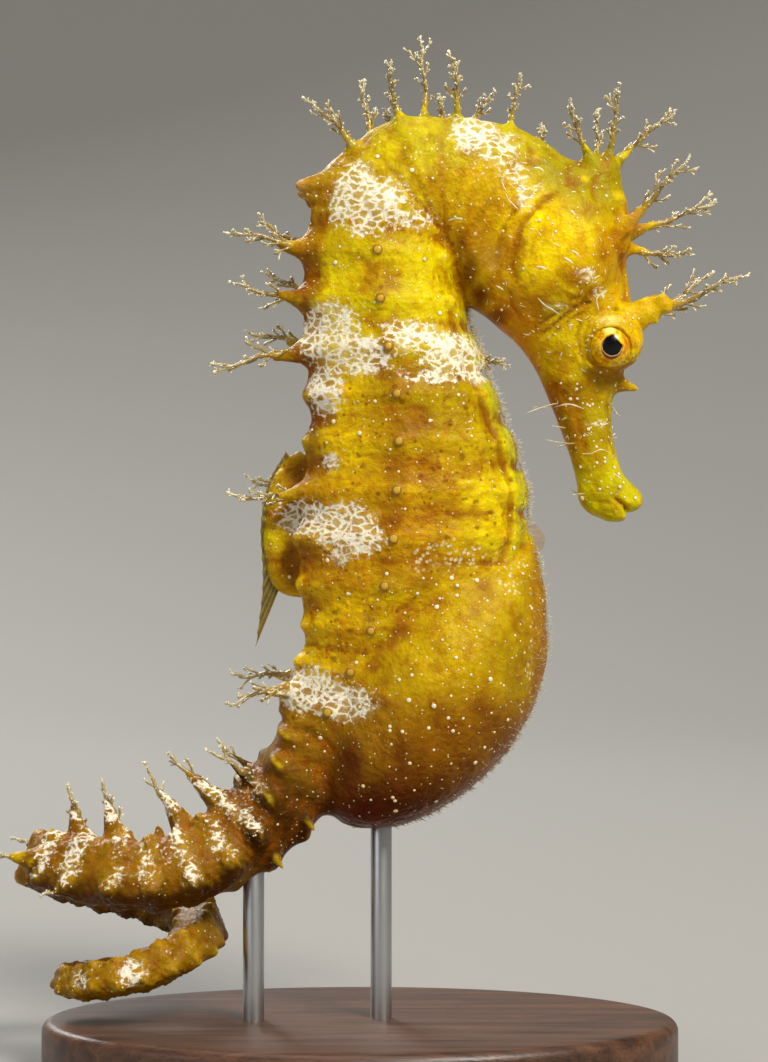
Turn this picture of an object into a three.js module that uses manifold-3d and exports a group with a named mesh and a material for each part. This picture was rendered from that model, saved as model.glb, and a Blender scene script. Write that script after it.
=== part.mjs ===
// A long-snouted seahorse, life size, as a still display model on a plain stand.
// Units are millimetres and +Z is up. The head faces +X, the animal's right side faces -Y,
// and the origin is the centre of the stand's underside.
//
// The head, neck and trunk are one loft: each station has a point on the back, a point on the
// belly and a half width, all in the plane of symmetry. The tail is a second loft along a curve
// that wraps round an upright axis. Both are made length by length, so that each named part is a
// closed solid with a thin cut to the next.

import * as THREE from "three";
import { mergeVertices } from "three/addons/utils/BufferGeometryUtils.js";
import Module from "manifold-3d";

const wasm = await Module();
wasm.setup();

// ---- driving dimensions -------------------------------------------------------------------

const CUT = 0.3; // gap between neighbouring parts
const TAIL_CUT = 0.45; // the same between lengths of the tail, which bend towards each other
const SIDES = 16; // faces round the head and trunk
const TAIL_SIDES = 8; // faces round the tail

const RING_PITCH = 4.05; // trunk rings, along the trunk
const RING_RISE = 0.25; // how far a ring's middle stands out from its joints
const FIRST_RING = 0.9; // the first trunk ring's middle, past the trunk's start
const TRUNK_RINGS = 11;
const TAIL_RINGS = 37;
const TAIL_PITCH_FIRST = 3.4;
const TAIL_PITCH_LAST = 1.35;

const EYE = { x: 21.5, y: 3.35, z: 62.0, radius: 1.75 };
const TURRET = { y: 2.3, across: 2.65, out: 2.25 };
const GILL = { x: 17.0, y: 2.6, z: 69.3, long: 5.0, deep: 4.3, out: 2.5, lean: 0.5 };

const BASE = { length: 54, width: 36, height: 4.5, chamfer: 0.6 };
const ROD = { radius: 0.9, socket: 2.5, bite: 1.2 };

// ---- colours --------------------------------------------------------------------------------

const finish = (color, roughness, metalness = 0) =>
  new THREE.MeshStandardMaterial({ color, roughness, metalness });
const SKIN = () => finish(0xd9a404, 0.45);
const POUCH_SKIN = () => finish(0xb8780a, 0.5);
const FIN = () => finish(0xc99a10, 0.5);
const EYEBALL = () => finish(0x1a1006, 0.1);
const WOOD = () => finish(0x3a2418, 0.4);
const STEEL = () => finish(0xb8b8b4, 0.3, 1);

// ---- the animal's lines -----------------------------------------------------------------------

// Stations from the mouth to the vent: back [x, z], belly [x, z], half width.
const BODY = [
  { back: [23.3, 47.7], belly: [21.1, 46.9], half: 0.9 },
  { back: [24.0, 48.5], belly: [19.6, 47.4], half: 1.5 },
  { back: [23.6, 49.5], belly: [18.6, 48.4], half: 1.8 },
  { back: [22.6, 50.7], belly: [18.4, 50.0], half: 1.8 },
  { back: [21.8, 52.4], belly: [17.9, 52.0], half: 1.75 },
  { back: [21.4, 54.7], belly: [17.0, 54.6], half: 1.85 },
  { back: [21.5, 57.2], belly: [16.0, 57.1], half: 2.1 },
  { back: [22.3, 59.2], belly: [15.1, 59.2], half: 2.5 },
  { back: [23.0, 61.3], belly: [14.2, 60.7], half: 2.8 },
  { back: [23.4, 63.7], belly: [13.2, 61.9], half: 3.0 },
  { back: [23.6, 66.2], belly: [11.8, 63.1], half: 3.4 },
  { back: [23.4, 68.8], belly: [10.9, 63.9], half: 3.8 },
  { back: [23.3, 71.4], belly: [10.0, 64.5], half: 4.1 },
  { back: [22.9, 74.2], belly: [8.8, 65.3], half: 4.1 },
  { back: [21.2, 77.0], belly: [8.0, 66.4], half: 3.9 },
  { back: [18.0, 78.5], belly: [7.4, 67.4], half: 3.8 },
  { back: [14.6, 79.9], belly: [7.1, 68.3], half: 3.9 },
  { back: [10.9, 80.7], belly: [7.0, 69.1], half: 4.1 },
  { back: [7.0, 81.1], belly: [7.1, 69.7], half: 4.3 },
  { back: [3.4, 80.9], belly: [7.3, 70.0], half: 4.5 },
  { back: [0.3, 79.6], belly: [7.5, 70.2], half: 4.7 },
  { back: [-2.1, 77.3], belly: [7.7, 70.4], half: 4.9 },
  { back: [-3.7, 74.2], belly: [7.8, 70.3], half: 5.1 },
  { back: [-4.6, 71.0], belly: [8.1, 69.4], half: 5.2 },
  { back: [-5.0, 68.0], belly: [8.5, 67.4], half: 5.4 },
  { back: [-5.0, 64.4], belly: [9.2, 64.2], half: 5.7 },
  { back: [-4.8, 60.6], belly: [10.4, 60.6], half: 6.0 },
  { back: [-4.4, 56.8], belly: [11.8, 56.8], half: 6.3 },
  { back: [-4.5, 52.8], belly: [13.3, 52.8], half: 6.5 },
  { back: [-5.0, 48.6], belly: [14.3, 48.8], half: 6.7 },
  { back: [-5.3, 44.6], belly: [13.9, 44.6], half: 6.8 },
  { back: [-5.0, 40.6], belly: [11.4, 40.4], half: 6.5 },
  { back: [-4.7, 36.9], belly: [7.6, 35.6], half: 5.8 },
  { back: [-5.8, 33.5], belly: [4.0, 31.2], half: 4.9 },
  { back: [-7.1, 30.6], belly: [1.4, 27.2], half: 4.2 },
];
const NECK_START = 15; // station of the shoulder girdle
const TRUNK_START = 23; // station of the first trunk ring
const CHEST = 26; // station where the side ridge starts to climb
const TRUNK_END = BODY.length - 1;

// Half a section from the middle of the back to the keel: across, up.
const ROUND_HALF = Array.from({ length: SIDES / 2 + 1 }, (_, i) => {
  const turn = (i * 2 * Math.PI) / SIDES;
  return [Math.sin(turn), Math.cos(turn)];
});
const RIDGED_HALF = [
  [0, 0.93],
  [0.42, 1.0],
  [0.66, 0.74],
  [0.86, 0.4],
  [1.0, 0.03],
  [0.92, -0.34],
  [0.76, -0.66],
  [0.46, -0.87],
  [0, -1.0],
];
const UPPER_RIDGE = 1;
const SIDE_RIDGE = 4;
const LOWER_RIDGE = 7;
const KEEL = 8;
const SIDE_RIDGE_RISE = 0.13; // how far the side ridge climbs below the chest, as a share of the depth
const TUBERCLE = { [UPPER_RIDGE]: 0.45, [SIDE_RIDGE]: 0.3, [LOWER_RIDGE]: 0.25, [KEEL]: 0.3 };

// The brood pouch, from its mouth to its foot: inner [x, z], outer [x, z], half width.
const POUCH = [
  { inner: [12.2, 45.8], outer: [14.7, 45.2], half: 0.6 },
  { inner: [5.0, 43.6], outer: [15.3, 43.0], half: 3.9 },
  { inner: [1.6, 40.0], outer: [15.8, 39.4], half: 6.2 },
  { inner: [-0.9, 35.8], outer: [15.9, 35.8], half: 7.7 },
  { inner: [-2.6, 31.6], outer: [14.9, 31.4], half: 8.2 },
  { inner: [-3.4, 27.8], outer: [12.6, 27.3], half: 7.8 },
  { inner: [-3.5, 24.5], outer: [9.0, 23.8], half: 6.5 },
  { inner: [-3.0, 22.4], outer: [4.8, 21.4], half: 4.4 },
  { inner: [-1.6, 21.2], outer: [1.2, 20.6], half: 1.6 },
];

// The tail's middle line: down and back from the vent, then round an upright axis.
const TAIL_LINE = [
  [-2.9, 0, 28.95],
  [-4.5, 0, 26.0],
  [-6.9, -0.4, 23.0],
  [-9.6, -1.2, 20.3],
  [-12.5, -2.3, 18.4],
  [-15.6, -3.1, 17.3],
  [-19.2, -3.4, 17.0],
  [-22.6, -2.6, 17.3],
  [-25.6, -0.2, 17.5],
  [-26.9, 3.8, 16.9],
  [-25.6, 7.6, 15.9],
  [-22.5, 9.9, 14.7],
  [-18.5, 10.2, 13.6],
  [-15.6, 8.0, 12.8],
  [-13.9, 4.2, 12.0],
  [-13.9, -0.2, 11.2],
  [-15.4, -3.3, 10.3],
  [-18.2, -4.8, 9.2],
  [-21.8, -4.4, 8.3],
  [-24.4, -2.0, 7.8],
  [-24.7, 1.2, 7.8],
  [-23.0, 3.5, 8.1],
  [-20.7, 3.6, 8.5],
  [-19.7, 1.9, 8.6],
];
const TAIL_AXIS = [-19.4, 2.8]; // the upright axis that the tail wraps round
const TAIL_GIRTH = [4.15, 3.5, 3.1, 2.75, 2.45, 2.3, 2.2, 2.0, 1.65, 1.2, 0.4]; // half thickness
const TAIL_TURN = 18; // length over which the tail twists until its back faces outwards
const WRAP_START = 26; // length from which the tail wraps round the axis
const TAIL_CUTS = [0, 15, 28, 40, 52, 64, 76, Infinity];

// ---- fronds: skin filaments with side twigs --------------------------------------------------

// from and to are points [x, y, z], root is the half thickness where it grows.
const FRONDS = {
  coronet: [
    { from: [21.5, 0.6, 77.0], to: [26.9, 1.4, 81.7], root: 0.6, twigs: 2 },
    { from: [21.0, -0.8, 77.2], to: [21.7, -2.0, 83.2], root: 0.5, twigs: 3 },
    { from: [20.2, 1.1, 77.4], to: [20.2, 2.8, 81.8], root: 0.5, twigs: 2 },
    { from: [19.4, -0.9, 77.5], to: [17.7, -2.4, 81.8], root: 0.5, twigs: 3 },
  ],
  snout: [{ from: [20.8, 0, 57.3], to: [23.9, 0, 58.1], root: 0.7, twigs: 0 }],
  head: [
    { from: [23.1, -2.2, 64.3], to: [31.9, -3.8, 67.4], root: 1.15, twigs: 3 },
    { from: [23.1, 2.2, 64.6], to: [30.4, 4.6, 68.2], root: 1.15, twigs: 2 },
    { from: [21.9, -1.6, 72.4], to: [27.7, -3.4, 77.2], root: 0.8, twigs: 3 },
    { from: [22.3, 1.6, 72.0], to: [30.5, 3.4, 74.2], root: 0.8, twigs: 2 },
    { from: [22.8, 0.2, 69.9], to: [28.0, 0.4, 69.5], root: 0.5, twigs: 2 },
    { from: [18.8, -2.2, 60.3], to: [19.6, -3.5, 59.6], root: 0.5, twigs: 0 },
    { from: [18.8, 2.2, 60.3], to: [19.6, 3.5, 59.6], root: 0.5, twigs: 0 },
  ],
  neck: [
    { from: [12.6, -0.9, 79.6], to: [13.6, -1.4, 84.1], root: 0.45, twigs: 2 },
    { from: [8.2, -1.7, 80.2], to: [7.8, -2.8, 85.8], root: 0.6, twigs: 3 },
    { from: [5.5, 1.6, 80.2], to: [5.2, 2.6, 87.6], root: 0.6, twigs: 2 },
    { from: [3.6, -1.8, 79.8], to: [2.4, -3.0, 85.0], root: 0.65, twigs: 3 },
    { from: [0.9, 1.8, 78.8], to: [0.0, 3.0, 84.1], root: 0.6, twigs: 2 },
    { from: [0.1, -1.9, 77.3], to: [-4.1, -3.2, 81.9], root: 0.85, twigs: 3 },
    { from: [-2.6, 2.0, 74.2], to: [-6.0, 2.6, 75.5], root: 1.5, twigs: 0 },
    { from: [-2.4, -2.0, 73.8], to: [-4.9, -2.9, 75.0], root: 1.3, twigs: 0 },
  ],
  trunk_upper: [
    { from: [-3.8, 2.0, 69.9], to: [-8.7, 3.4, 72.5], root: 0.7, twigs: 2 },
    { from: [-3.8, -2.0, 69.2], to: [-10.6, -4.0, 71.0], root: 0.8, twigs: 3 },
    { from: [-3.9, 2.1, 66.0], to: [-8.2, 3.6, 68.0], root: 0.7, twigs: 2 },
    { from: [-3.9, -2.1, 65.3], to: [-10.3, -4.2, 66.5], root: 0.85, twigs: 3 },
    { from: [-3.7, 2.2, 61.6], to: [-9.6, 3.8, 62.8], root: 0.9, twigs: 2 },
    { from: [-3.7, -2.2, 60.9], to: [-11.5, -4.4, 59.5], root: 1.1, twigs: 3 },
    { from: [9.4, 0, 60.6], to: [12.4, -0.4, 60.0], root: 0.5, twigs: 1 },
  ],
  trunk_middle: [
    { from: [-3.8, -2.6, 49.0], to: [-10.2, -4.6, 48.6], root: 0.8, twigs: 3 },
    { from: [-3.8, 2.6, 49.4], to: [-9.4, 4.8, 50.0], root: 0.8, twigs: 2 },
  ],
  trunk_lower: [
    { from: [-4.8, -2.4, 32.9], to: [-10.9, -4.4, 31.3], root: 0.9, twigs: 3 },
    { from: [-4.8, 2.2, 33.4], to: [-10.5, 4.2, 33.2], root: 0.9, twigs: 2 },
  ],
  tail_1: [
    { from: [-8.4, 1.5, 24.9], to: [-12.2, 2.6, 27.7], root: 0.7, twigs: 2 },
    { from: [-8.0, -1.7, 23.6], to: [-12.4, -3.2, 26.4], root: 0.7, twigs: 2 },
    { from: [-11.6, -0.9, 20.9], to: [-16.6, -0.4, 27.2], root: 1.0, twigs: 3 },
  ],
  tail_2: [
    { from: [-15.9, -2.4, 19.4], to: [-18.0, -1.6, 25.8], root: 0.95, twigs: 3 },
    { from: [-20.0, -2.6, 18.9], to: [-21.8, -2.2, 24.9], root: 0.9, twigs: 3 },
    { from: [-23.2, -1.5, 18.9], to: [-24.9, -1.4, 24.4], root: 0.8, twigs: 2 },
    { from: [-22.8, -2.6, 16.0], to: [-26.4, -5.0, 15.6], root: 0.8, twigs: 1 },
  ],
  tail_3: [
    { from: [-25.4, 1.0, 18.6], to: [-29.8, -0.6, 18.2], root: 0.85, twigs: 2 },
    { from: [-26.8, 5.0, 17.8], to: [-30.0, 5.6, 19.2], root: 0.7, twigs: 2 },
  ],
  tail_4: [
    { from: [-21.0, 10.6, 15.4], to: [-22.6, 13.6, 17.0], root: 0.7, twigs: 2 },
    { from: [-15.8, 9.2, 14.2], to: [-14.2, 12.6, 15.6], root: 0.6, twigs: 1 },
  ],
};
const FROND_TIP = 0.27; // half thickness of a frond's tip
const TWIG_SHARE = 0.34; // a twig's length, as a share of its frond's
const TWIG_LEAN = 0.95; // how far a twig leans from its frond, in radians
const GOLDEN_ANGLE = 2.4; // turn from one twig to the next round the frond

// ---- solids -------------------------------------------------------------------------------------

const V = (x, y, z) => new THREE.Vector3(x, y, z);
const lerp = THREE.MathUtils.lerp;

// A closed triangle mesh as a manifold-3d solid, turned the right way out.
function solidOf(geometry) {
  const plain = geometry.clone();
  plain.deleteAttribute("normal");
  plain.deleteAttribute("uv");
  const merged = mergeVertices(plain, 1e-5);
  const vertProperties = new Float32Array(merged.attributes.position.array);
  const triVerts = new Uint32Array(merged.index.array);
  const made = new wasm.Manifold(new wasm.Mesh({ numProp: 3, vertProperties, triVerts }));
  if (made.volume() >= 0) return made;
  for (let i = 0; i < triVerts.length; i += 3) {
    [triVerts[i + 1], triVerts[i + 2]] = [triVerts[i + 2], triVerts[i + 1]];
  }
  return new wasm.Manifold(new wasm.Mesh({ numProp: 3, vertProperties, triVerts }));
}

// Rings of points joined by quads. A fan of faces round a middle point closes each end, or, for a
// thin tube, round one of the ring's own corners.
function loft(rings, thin = false) {
  const count = rings[0].length;
  const points = rings.flat();
  const faces = [];
  for (let i = 0; i + 1 < rings.length; i++) {
    for (let j = 0; j < count; j++) {
      const a = i * count + j;
      const b = i * count + ((j + 1) % count);
      faces.push(a, b, a + count, b, b + count, a + count);
    }
  }
  const capEnd = (start, flip) => {
    if (thin) {
      for (let j = 1; j + 1 < count; j++) {
        faces.push(start, ...(flip ? [start + j + 1, start + j] : [start + j, start + j + 1]));
      }
      return;
    }
    const middle = V(0, 0, 0);
    for (let j = 0; j < count; j++) middle.addScaledVector(points[start + j], 1 / count);
    points.push(middle);
    for (let j = 0; j < count; j++) {
      const a = start + j;
      const b = start + ((j + 1) % count);
      faces.push(...(flip ? [b, a, points.length - 1] : [a, b, points.length - 1]));
    }
  };
  capEnd(0, true);
  capEnd((rings.length - 1) * count, false);
  const geometry = new THREE.BufferGeometry().setFromPoints(points);
  geometry.setIndex(faces);
  return solidOf(geometry);
}

// The largest piece of a solid, which drops the slivers that a cut can leave.
function largest(solid) {
  return solid.decompose().reduce((a, b) => (a.volume() > b.volume() ? a : b));
}

function ellipsoid(centre, radii, lean = 0, across = 12, down = 8) {
  const ball = new THREE.SphereGeometry(1, across, down).rotateX(Math.PI / 2);
  return solidOf(ball.scale(...radii).rotateY(lean).translate(...centre));
}

// A smooth curve through points; a share t of 1 is its last point.
const curveOf = (points) => new THREE.CatmullRomCurve3(points, false, "catmullrom", 0.5);

// Lengths along a curve at evenly spaced shares.
function lengthTable(curve, steps) {
  const lengths = [0];
  for (let i = 1; i <= steps; i++) {
    const step = curve.getPoint(i / steps).distanceTo(curve.getPoint((i - 1) / steps));
    lengths.push(lengths[i - 1] + step);
  }
  return lengths;
}

// The share of a curve that lies a length past its start.
function shareAt(lengths, length) {
  const last = lengths.length - 1;
  const i = Math.min(
    last - 1,
    Math.max(
      0,
      lengths.findIndex((l, k) => k === last || lengths[k + 1] > length),
    ),
  );
  const part = (length - lengths[i]) / (lengths[i + 1] - lengths[i]);
  return (i + Math.min(1, part)) / last;
}

// ---- head, neck and trunk -------------------------------------------------------------------------

const bodyBack = curveOf(BODY.map((s) => V(s.back[0], 0, s.back[1])));
const bodyBelly = curveOf(BODY.map((s) => V(s.belly[0], s.half, s.belly[1])));

// One ring of points at a station, grown outwards by a margin. Inside the trunk's rings it carries
// the ridges and the tubercles where a ring's middle crosses them.
function bodyRing(station, grow = 0, crest = 0) {
  const share = station / TRUNK_END;
  const back = bodyBack.getPoint(share);
  const bellyAndHalf = bodyBelly.getPoint(share);
  const belly = V(bellyAndHalf.x, 0, bellyAndHalf.z);
  const middle = back.clone().add(belly).multiplyScalar(0.5);
  const up = back.clone().sub(belly);
  const deep = up.length() / 2 + grow;
  const wide = bellyAndHalf.y + grow;
  up.normalize();
  const ridged = THREE.MathUtils.smoothstep(station, NECK_START, TRUNK_START);
  const ring = [];
  for (let j = 0; j < SIDES; j++) {
    const k = j <= SIDES / 2 ? j : SIDES - j;
    const side = j <= SIDES / 2 ? 1 : -1;
    const out = crest * ridged * (RING_RISE + (TUBERCLE[k] ?? 0)) - (1 - crest) * 0.1 * ridged;
    const across = lerp(ROUND_HALF[k][0], RIDGED_HALF[k][0], ridged);
    const climb = SIDE_RIDGE_RISE * THREE.MathUtils.smoothstep(station, CHEST, CHEST + 3);
    const rise = lerp(ROUND_HALF[k][1], RIDGED_HALF[k][1] + climb * across ** 4, ridged);
    const point = middle.clone().addScaledVector(up, rise * (deep + out));
    point.y = side * across * (wide + out);
    ring.push(point);
  }
  return ring;
}

const LENGTH_STEPS = 400;
const bodyMiddle = curveOf(
  BODY.map((s) => V((s.back[0] + s.belly[0]) / 2, 0, (s.back[1] + s.belly[1]) / 2)),
);
const bodyLengths = lengthTable(bodyMiddle, LENGTH_STEPS);
const trunkStart = bodyLengths[Math.round((TRUNK_START / TRUNK_END) * LENGTH_STEPS)];
const stationAt = (length) => shareAt(bodyLengths, length) * TRUNK_END;

// The stations of the trunk's ring middles and of the joints between them.
const ringMiddle = (k) => stationAt(trunkStart + FIRST_RING + k * RING_PITCH);
const ringJoint = (k) => stationAt(trunkStart + FIRST_RING + (k - 0.5) * RING_PITCH);

// A length of the head and neck, with plain rings about one station apart.
function headLength(from, to, grow = 0) {
  const steps = Math.max(2, Math.round(to - from));
  const rings = [];
  for (let i = 0; i <= steps; i++) rings.push(bodyRing(lerp(from, to, i / steps), grow));
  return loft(rings);
}

// A length of the trunk from one ring to another: a joint, a middle, a joint and so on.
function trunkLength(first, last, from, to, grow = 0) {
  const rings = [bodyRing(from, grow)];
  for (let k = first; k <= last; k++) {
    if (k > first) rings.push(bodyRing(ringJoint(k), grow));
    rings.push(bodyRing(ringMiddle(k), grow, 1));
  }
  rings.push(bodyRing(to, grow));
  return loft(rings);
}

// ---- tail ----------------------------------------------------------------------------------------------

const tailCurve = curveOf(TAIL_LINE.map((p) => V(...p)));
const tailLengths = lengthTable(tailCurve, LENGTH_STEPS);
const tailLength = tailLengths[LENGTH_STEPS];

function tailGirth(length) {
  const at = (length / tailLength) * (TAIL_GIRTH.length - 1);
  const i = Math.min(TAIL_GIRTH.length - 2, Math.max(0, Math.floor(at)));
  return lerp(TAIL_GIRTH[i], TAIL_GIRTH[i + 1], Math.min(1, at - i));
}

// The tail's frame at a length: its point, its way forward, and which way its back faces.
function tailFrame(length) {
  const share = shareAt(tailLengths, length);
  const point = tailCurve.getPoint(share);
  const along = tailCurve.getTangent(share);
  const trunkBack = V(-0.96, 0, 0.29);
  const across = point.x - TAIL_AXIS[0];
  const outwards = V(length < WRAP_START ? Math.min(0, across) : across, point.y - TAIL_AXIS[1], 0);
  outwards.normalize();
  outwards.z = 0.45;
  const turned = THREE.MathUtils.smoothstep(length, 0, TAIL_TURN);
  const back = trunkBack.lerp(outwards, turned);
  back.addScaledVector(along, -back.dot(along)).normalize();
  const side = along.clone().cross(back);
  return { point, along, back, side };
}

// One eight-sided ring of the tail: four ridges at the corners, flat faces between.
function tailRing(length, grow = 0, crest = 0) {
  const { point, back, side } = tailFrame(length);
  const girth = tailGirth(length);
  const ring = [];
  for (let j = 0; j < TAIL_SIDES; j++) {
    const turn = (j * 2 * Math.PI) / TAIL_SIDES;
    const corner = j % 2 === 1;
    const onBack = Math.cos(turn) > 0;
    const spine = corner ? crest * girth * (onBack ? 0.3 : 0.2) : crest * girth * 0.04;
    const reach = girth * (corner ? 1.08 : 0.9) + spine - (1 - crest) * girth * 0.05 + grow;
    ring.push(
      point
        .clone()
        .addScaledVector(back, Math.cos(turn) * reach)
        .addScaledVector(side, Math.sin(turn) * reach),
    );
  }
  return ring;
}

// Where the tail's ring joints lie: the rings shorten evenly towards the tip.
const tailJoints = [0];
for (let k = 0; k < TAIL_RINGS; k++) {
  tailJoints.push(tailJoints[k] + lerp(TAIL_PITCH_FIRST, TAIL_PITCH_LAST, k / (TAIL_RINGS - 1)));
}
const jointScale = tailLength / tailJoints[TAIL_RINGS];
const tailJoint = (k) => tailJoints[k] * jointScale;

// A length of the tail, cut at the ring joints nearest to two lengths.
function tailPart(from, to, grow = 0) {
  const nearest = (length) => {
    let best = 0;
    for (let k = 0; k <= TAIL_RINGS; k++) {
      if (Math.abs(tailJoint(k) - length) < Math.abs(tailJoint(best) - length)) best = k;
    }
    return best;
  };
  const first = nearest(from);
  const last = to === Infinity ? TAIL_RINGS : nearest(to);
  const rings = [];
  for (let k = first; k < last; k++) {
    const cut = k === first ? TAIL_CUT / 2 : 0;
    rings.push(tailRing(tailJoint(k) + cut, grow));
    rings.push(tailRing((tailJoint(k) + tailJoint(k + 1)) / 2, grow, 1));
  }
  rings.push(tailRing(tailJoint(last) - (last < TAIL_RINGS ? TAIL_CUT / 2 : 0), grow));
  return loft(rings);
}

// ---- fronds --------------------------------------------------------------------------------------------

// A tapered tube through points, with a square or three-cornered section.
function taper(points, radii, sides) {
  const rings = points.map((point, i) => {
    const before = points[Math.max(0, i - 1)];
    const after = points[Math.min(points.length - 1, i + 1)];
    const along = after.clone().sub(before).normalize();
    const across = along.clone().cross(V(0, 1, 0.13)).normalize();
    const up = across.clone().cross(along);
    return Array.from({ length: sides }, (_, j) => {
      const turn = (j * 2 * Math.PI) / sides;
      return point
        .clone()
        .addScaledVector(across, Math.cos(turn) * radii[i])
        .addScaledVector(up, Math.sin(turn) * radii[i]);
    });
  });
  return loft(rings, true);
}

// A frond: a stem that narrows fast above its root, and twigs that turn round it as they climb.
function frond({ from, to, root, twigs }) {
  const start = V(...from);
  const reach = V(...to).sub(start);
  const length = reach.length();
  const along = reach.clone().normalize();
  const across = along.clone().cross(V(0, 1, 0)).normalize();
  const out = across.clone().cross(along);
  const bow = length * 0.05;
  const onStem = (share) =>
    start
      .clone()
      .addScaledVector(reach, share)
      .addScaledVector(across, bow * Math.sin(share * Math.PI));
  const stemRadius = (share) => FROND_TIP + (root - FROND_TIP) * (1 - share) ** 2;
  const shares = [0, 0.45, 1];
  let made = taper(shares.map(onStem), shares.map(stemRadius), 4);
  for (let i = 0; i < twigs; i++) {
    const share = lerp(0.45, 0.8, twigs > 1 ? i / (twigs - 1) : 0);
    const foot = onStem(share);
    const turn = i * GOLDEN_ANGLE + from[0];
    const way = along
      .clone()
      .multiplyScalar(Math.cos(TWIG_LEAN))
      .addScaledVector(across, Math.sin(TWIG_LEAN) * Math.cos(turn))
      .addScaledVector(out, Math.sin(TWIG_LEAN) * Math.sin(turn));
    const tip = foot.clone().addScaledVector(way, length * TWIG_SHARE * (1.1 - share * 0.5));
    made = made.add(taper([foot, tip], [FROND_TIP, FROND_TIP], 3));
  }
  return made;
}

const withFronds = (name, solid) =>
  (FRONDS[name] ?? []).reduce((whole, spec) => whole.add(frond(spec)), solid);

// ---- the parts ------------------------------------------------------------------------------------------

const seahorse = new THREE.Group();
const stand = new THREE.Group();

// A named mesh of a solid, whose vertices are already in the animal's frame.
function addPart(group, name, solid, material) {
  const { vertProperties, triVerts, numProp } = solid.getMesh();
  const positions = new Float32Array((vertProperties.length / numProp) * 3);
  for (let i = 0; i < positions.length / 3; i++) {
    positions.set(vertProperties.subarray(i * numProp, i * numProp + 3), i * 3);
  }
  const geometry = new THREE.BufferGeometry();
  geometry.setAttribute("position", new THREE.BufferAttribute(positions, 3));
  geometry.setIndex(new THREE.BufferAttribute(new Uint32Array(triVerts), 1));
  geometry.computeVertexNormals();
  const mesh = new THREE.Mesh(geometry, material);
  mesh.name = name;
  group.add(mesh);
}

const HALF_CUT = 0.06; // half a cut, in stations of the head
const MOUTH_END = 3;
const SNOUT_END = 7;

// The throat lies against the front of the trunk, so the head and neck are cut back from it.
const HALF_TRUNK_CUT = 0.04; // half a cut, in stations of the trunk
const neckEnd = ringJoint(0);
const middleStart = ringJoint(3);
const lowerStart = ringJoint(7);
const trunkFront = trunkLength(0, 2, neckEnd, middleStart, CUT);

// Mouth and snout.
addPart(seahorse, "mouth", headLength(0, MOUTH_END - HALF_CUT), SKIN());
const snout = headLength(MOUTH_END + HALF_CUT, SNOUT_END - HALF_CUT);
addPart(seahorse, "snout", withFronds("snout", snout), SKIN());

// Head, with an eye turret on each side, and the sockets for the eyeballs.
let head = headLength(SNOUT_END + HALF_CUT, NECK_START - HALF_CUT);
const headGrown = headLength(SNOUT_END + HALF_CUT, NECK_START - HALF_CUT, CUT);
for (const side of [-1, 1]) {
  const turret = [EYE.x, side * TURRET.y, EYE.z];
  head = head.add(ellipsoid(turret, [TURRET.across, TURRET.out, TURRET.across]));
}
head = withFronds("head", head);
for (const side of [-1, 1]) {
  const socket = EYE.radius + CUT;
  head = head.subtract(ellipsoid([EYE.x, side * EYE.y, EYE.z], [socket, socket, socket]));
}

// Coronet: a low crown on the head, with its fronds.
const crown = ellipsoid([20.4, 0, 76.6], [1.9, 1.9, 1.8], 0.5, 8, 6);
const coronet = largest(withFronds("coronet", crown).subtract(headGrown));
addPart(seahorse, "coronet", coronet, SKIN());
addPart(seahorse, "head", largest(head.subtract(trunkFront)), SKIN());

// Eyeballs.
for (const [side, word] of [[-1, "right"], [1, "left"]]) {
  const ball = new THREE.Mesh(new THREE.SphereGeometry(EYE.radius, 12, 8), EYEBALL());
  ball.name = `eye_${word}`;
  ball.position.set(EYE.x, side * EYE.y, EYE.z);
  seahorse.add(ball);
}

// Gill covers: a shallow dome on each side of the head.
for (const [side, word] of [[-1, "right"], [1, "left"]]) {
  const dome = ellipsoid(
    [GILL.x, side * GILL.y, GILL.z], [GILL.deep, GILL.out, GILL.long], GILL.lean, 12, 8,
  );
  const behind = headLength(NECK_START - HALF_CUT, NECK_START + 4, CUT);
  addPart(seahorse, `gill_cover_${word}`, largest(dome.subtract(headGrown).subtract(behind)), SKIN());
}

// Neck and trunk.
const neck = headLength(NECK_START + HALF_CUT, neckEnd - HALF_CUT).subtract(trunkFront);
addPart(seahorse, "neck", largest(withFronds("neck", neck)), SKIN());
const trunkParts = [
  ["trunk_upper", 0, 2, neckEnd + HALF_TRUNK_CUT, middleStart - HALF_TRUNK_CUT],
  ["trunk_middle", 3, 6, middleStart + HALF_TRUNK_CUT, lowerStart - HALF_TRUNK_CUT],
  ["trunk_lower", 7, TRUNK_RINGS - 1, lowerStart + HALF_TRUNK_CUT, TRUNK_END - 2 * HALF_TRUNK_CUT],
];
for (const [name, first, last, from, to] of trunkParts) {
  addPart(seahorse, name, withFronds(name, trunkLength(first, last, from, to)), SKIN());
}
const trunkGrown = trunkLength(3, TRUNK_RINGS - 1, middleStart, TRUNK_END, CUT);

// Tail lengths.
const tailNames = TAIL_CUTS.slice(0, -1).map((_, i) => `tail_${i + 1}`);
tailNames.forEach((name, i) => {
  const part = tailPart(TAIL_CUTS[i], TAIL_CUTS[i + 1]);
  addPart(seahorse, name, withFronds(name, part), SKIN());
});
const tailGrown = tailPart(0, TAIL_CUTS[2], CUT);

// Brood pouch, hollowed to sit round the trunk and the tail's root.
function spokeRing({ inner, outer, half }) {
  const a = V(inner[0], 0, inner[1]);
  const b = V(outer[0], 0, outer[1]);
  const middle = a.clone().add(b).multiplyScalar(0.5);
  const reach = b.clone().sub(a).multiplyScalar(0.5);
  return Array.from({ length: SIDES }, (_, j) => {
    const turn = (j * 2 * Math.PI) / SIDES;
    const point = middle.clone().addScaledVector(reach, Math.cos(turn));
    point.y = Math.sin(turn) * half;
    return point;
  });
}
let pouch = loft(POUCH.map(spokeRing)).subtract(trunkGrown).subtract(tailGrown);

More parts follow.
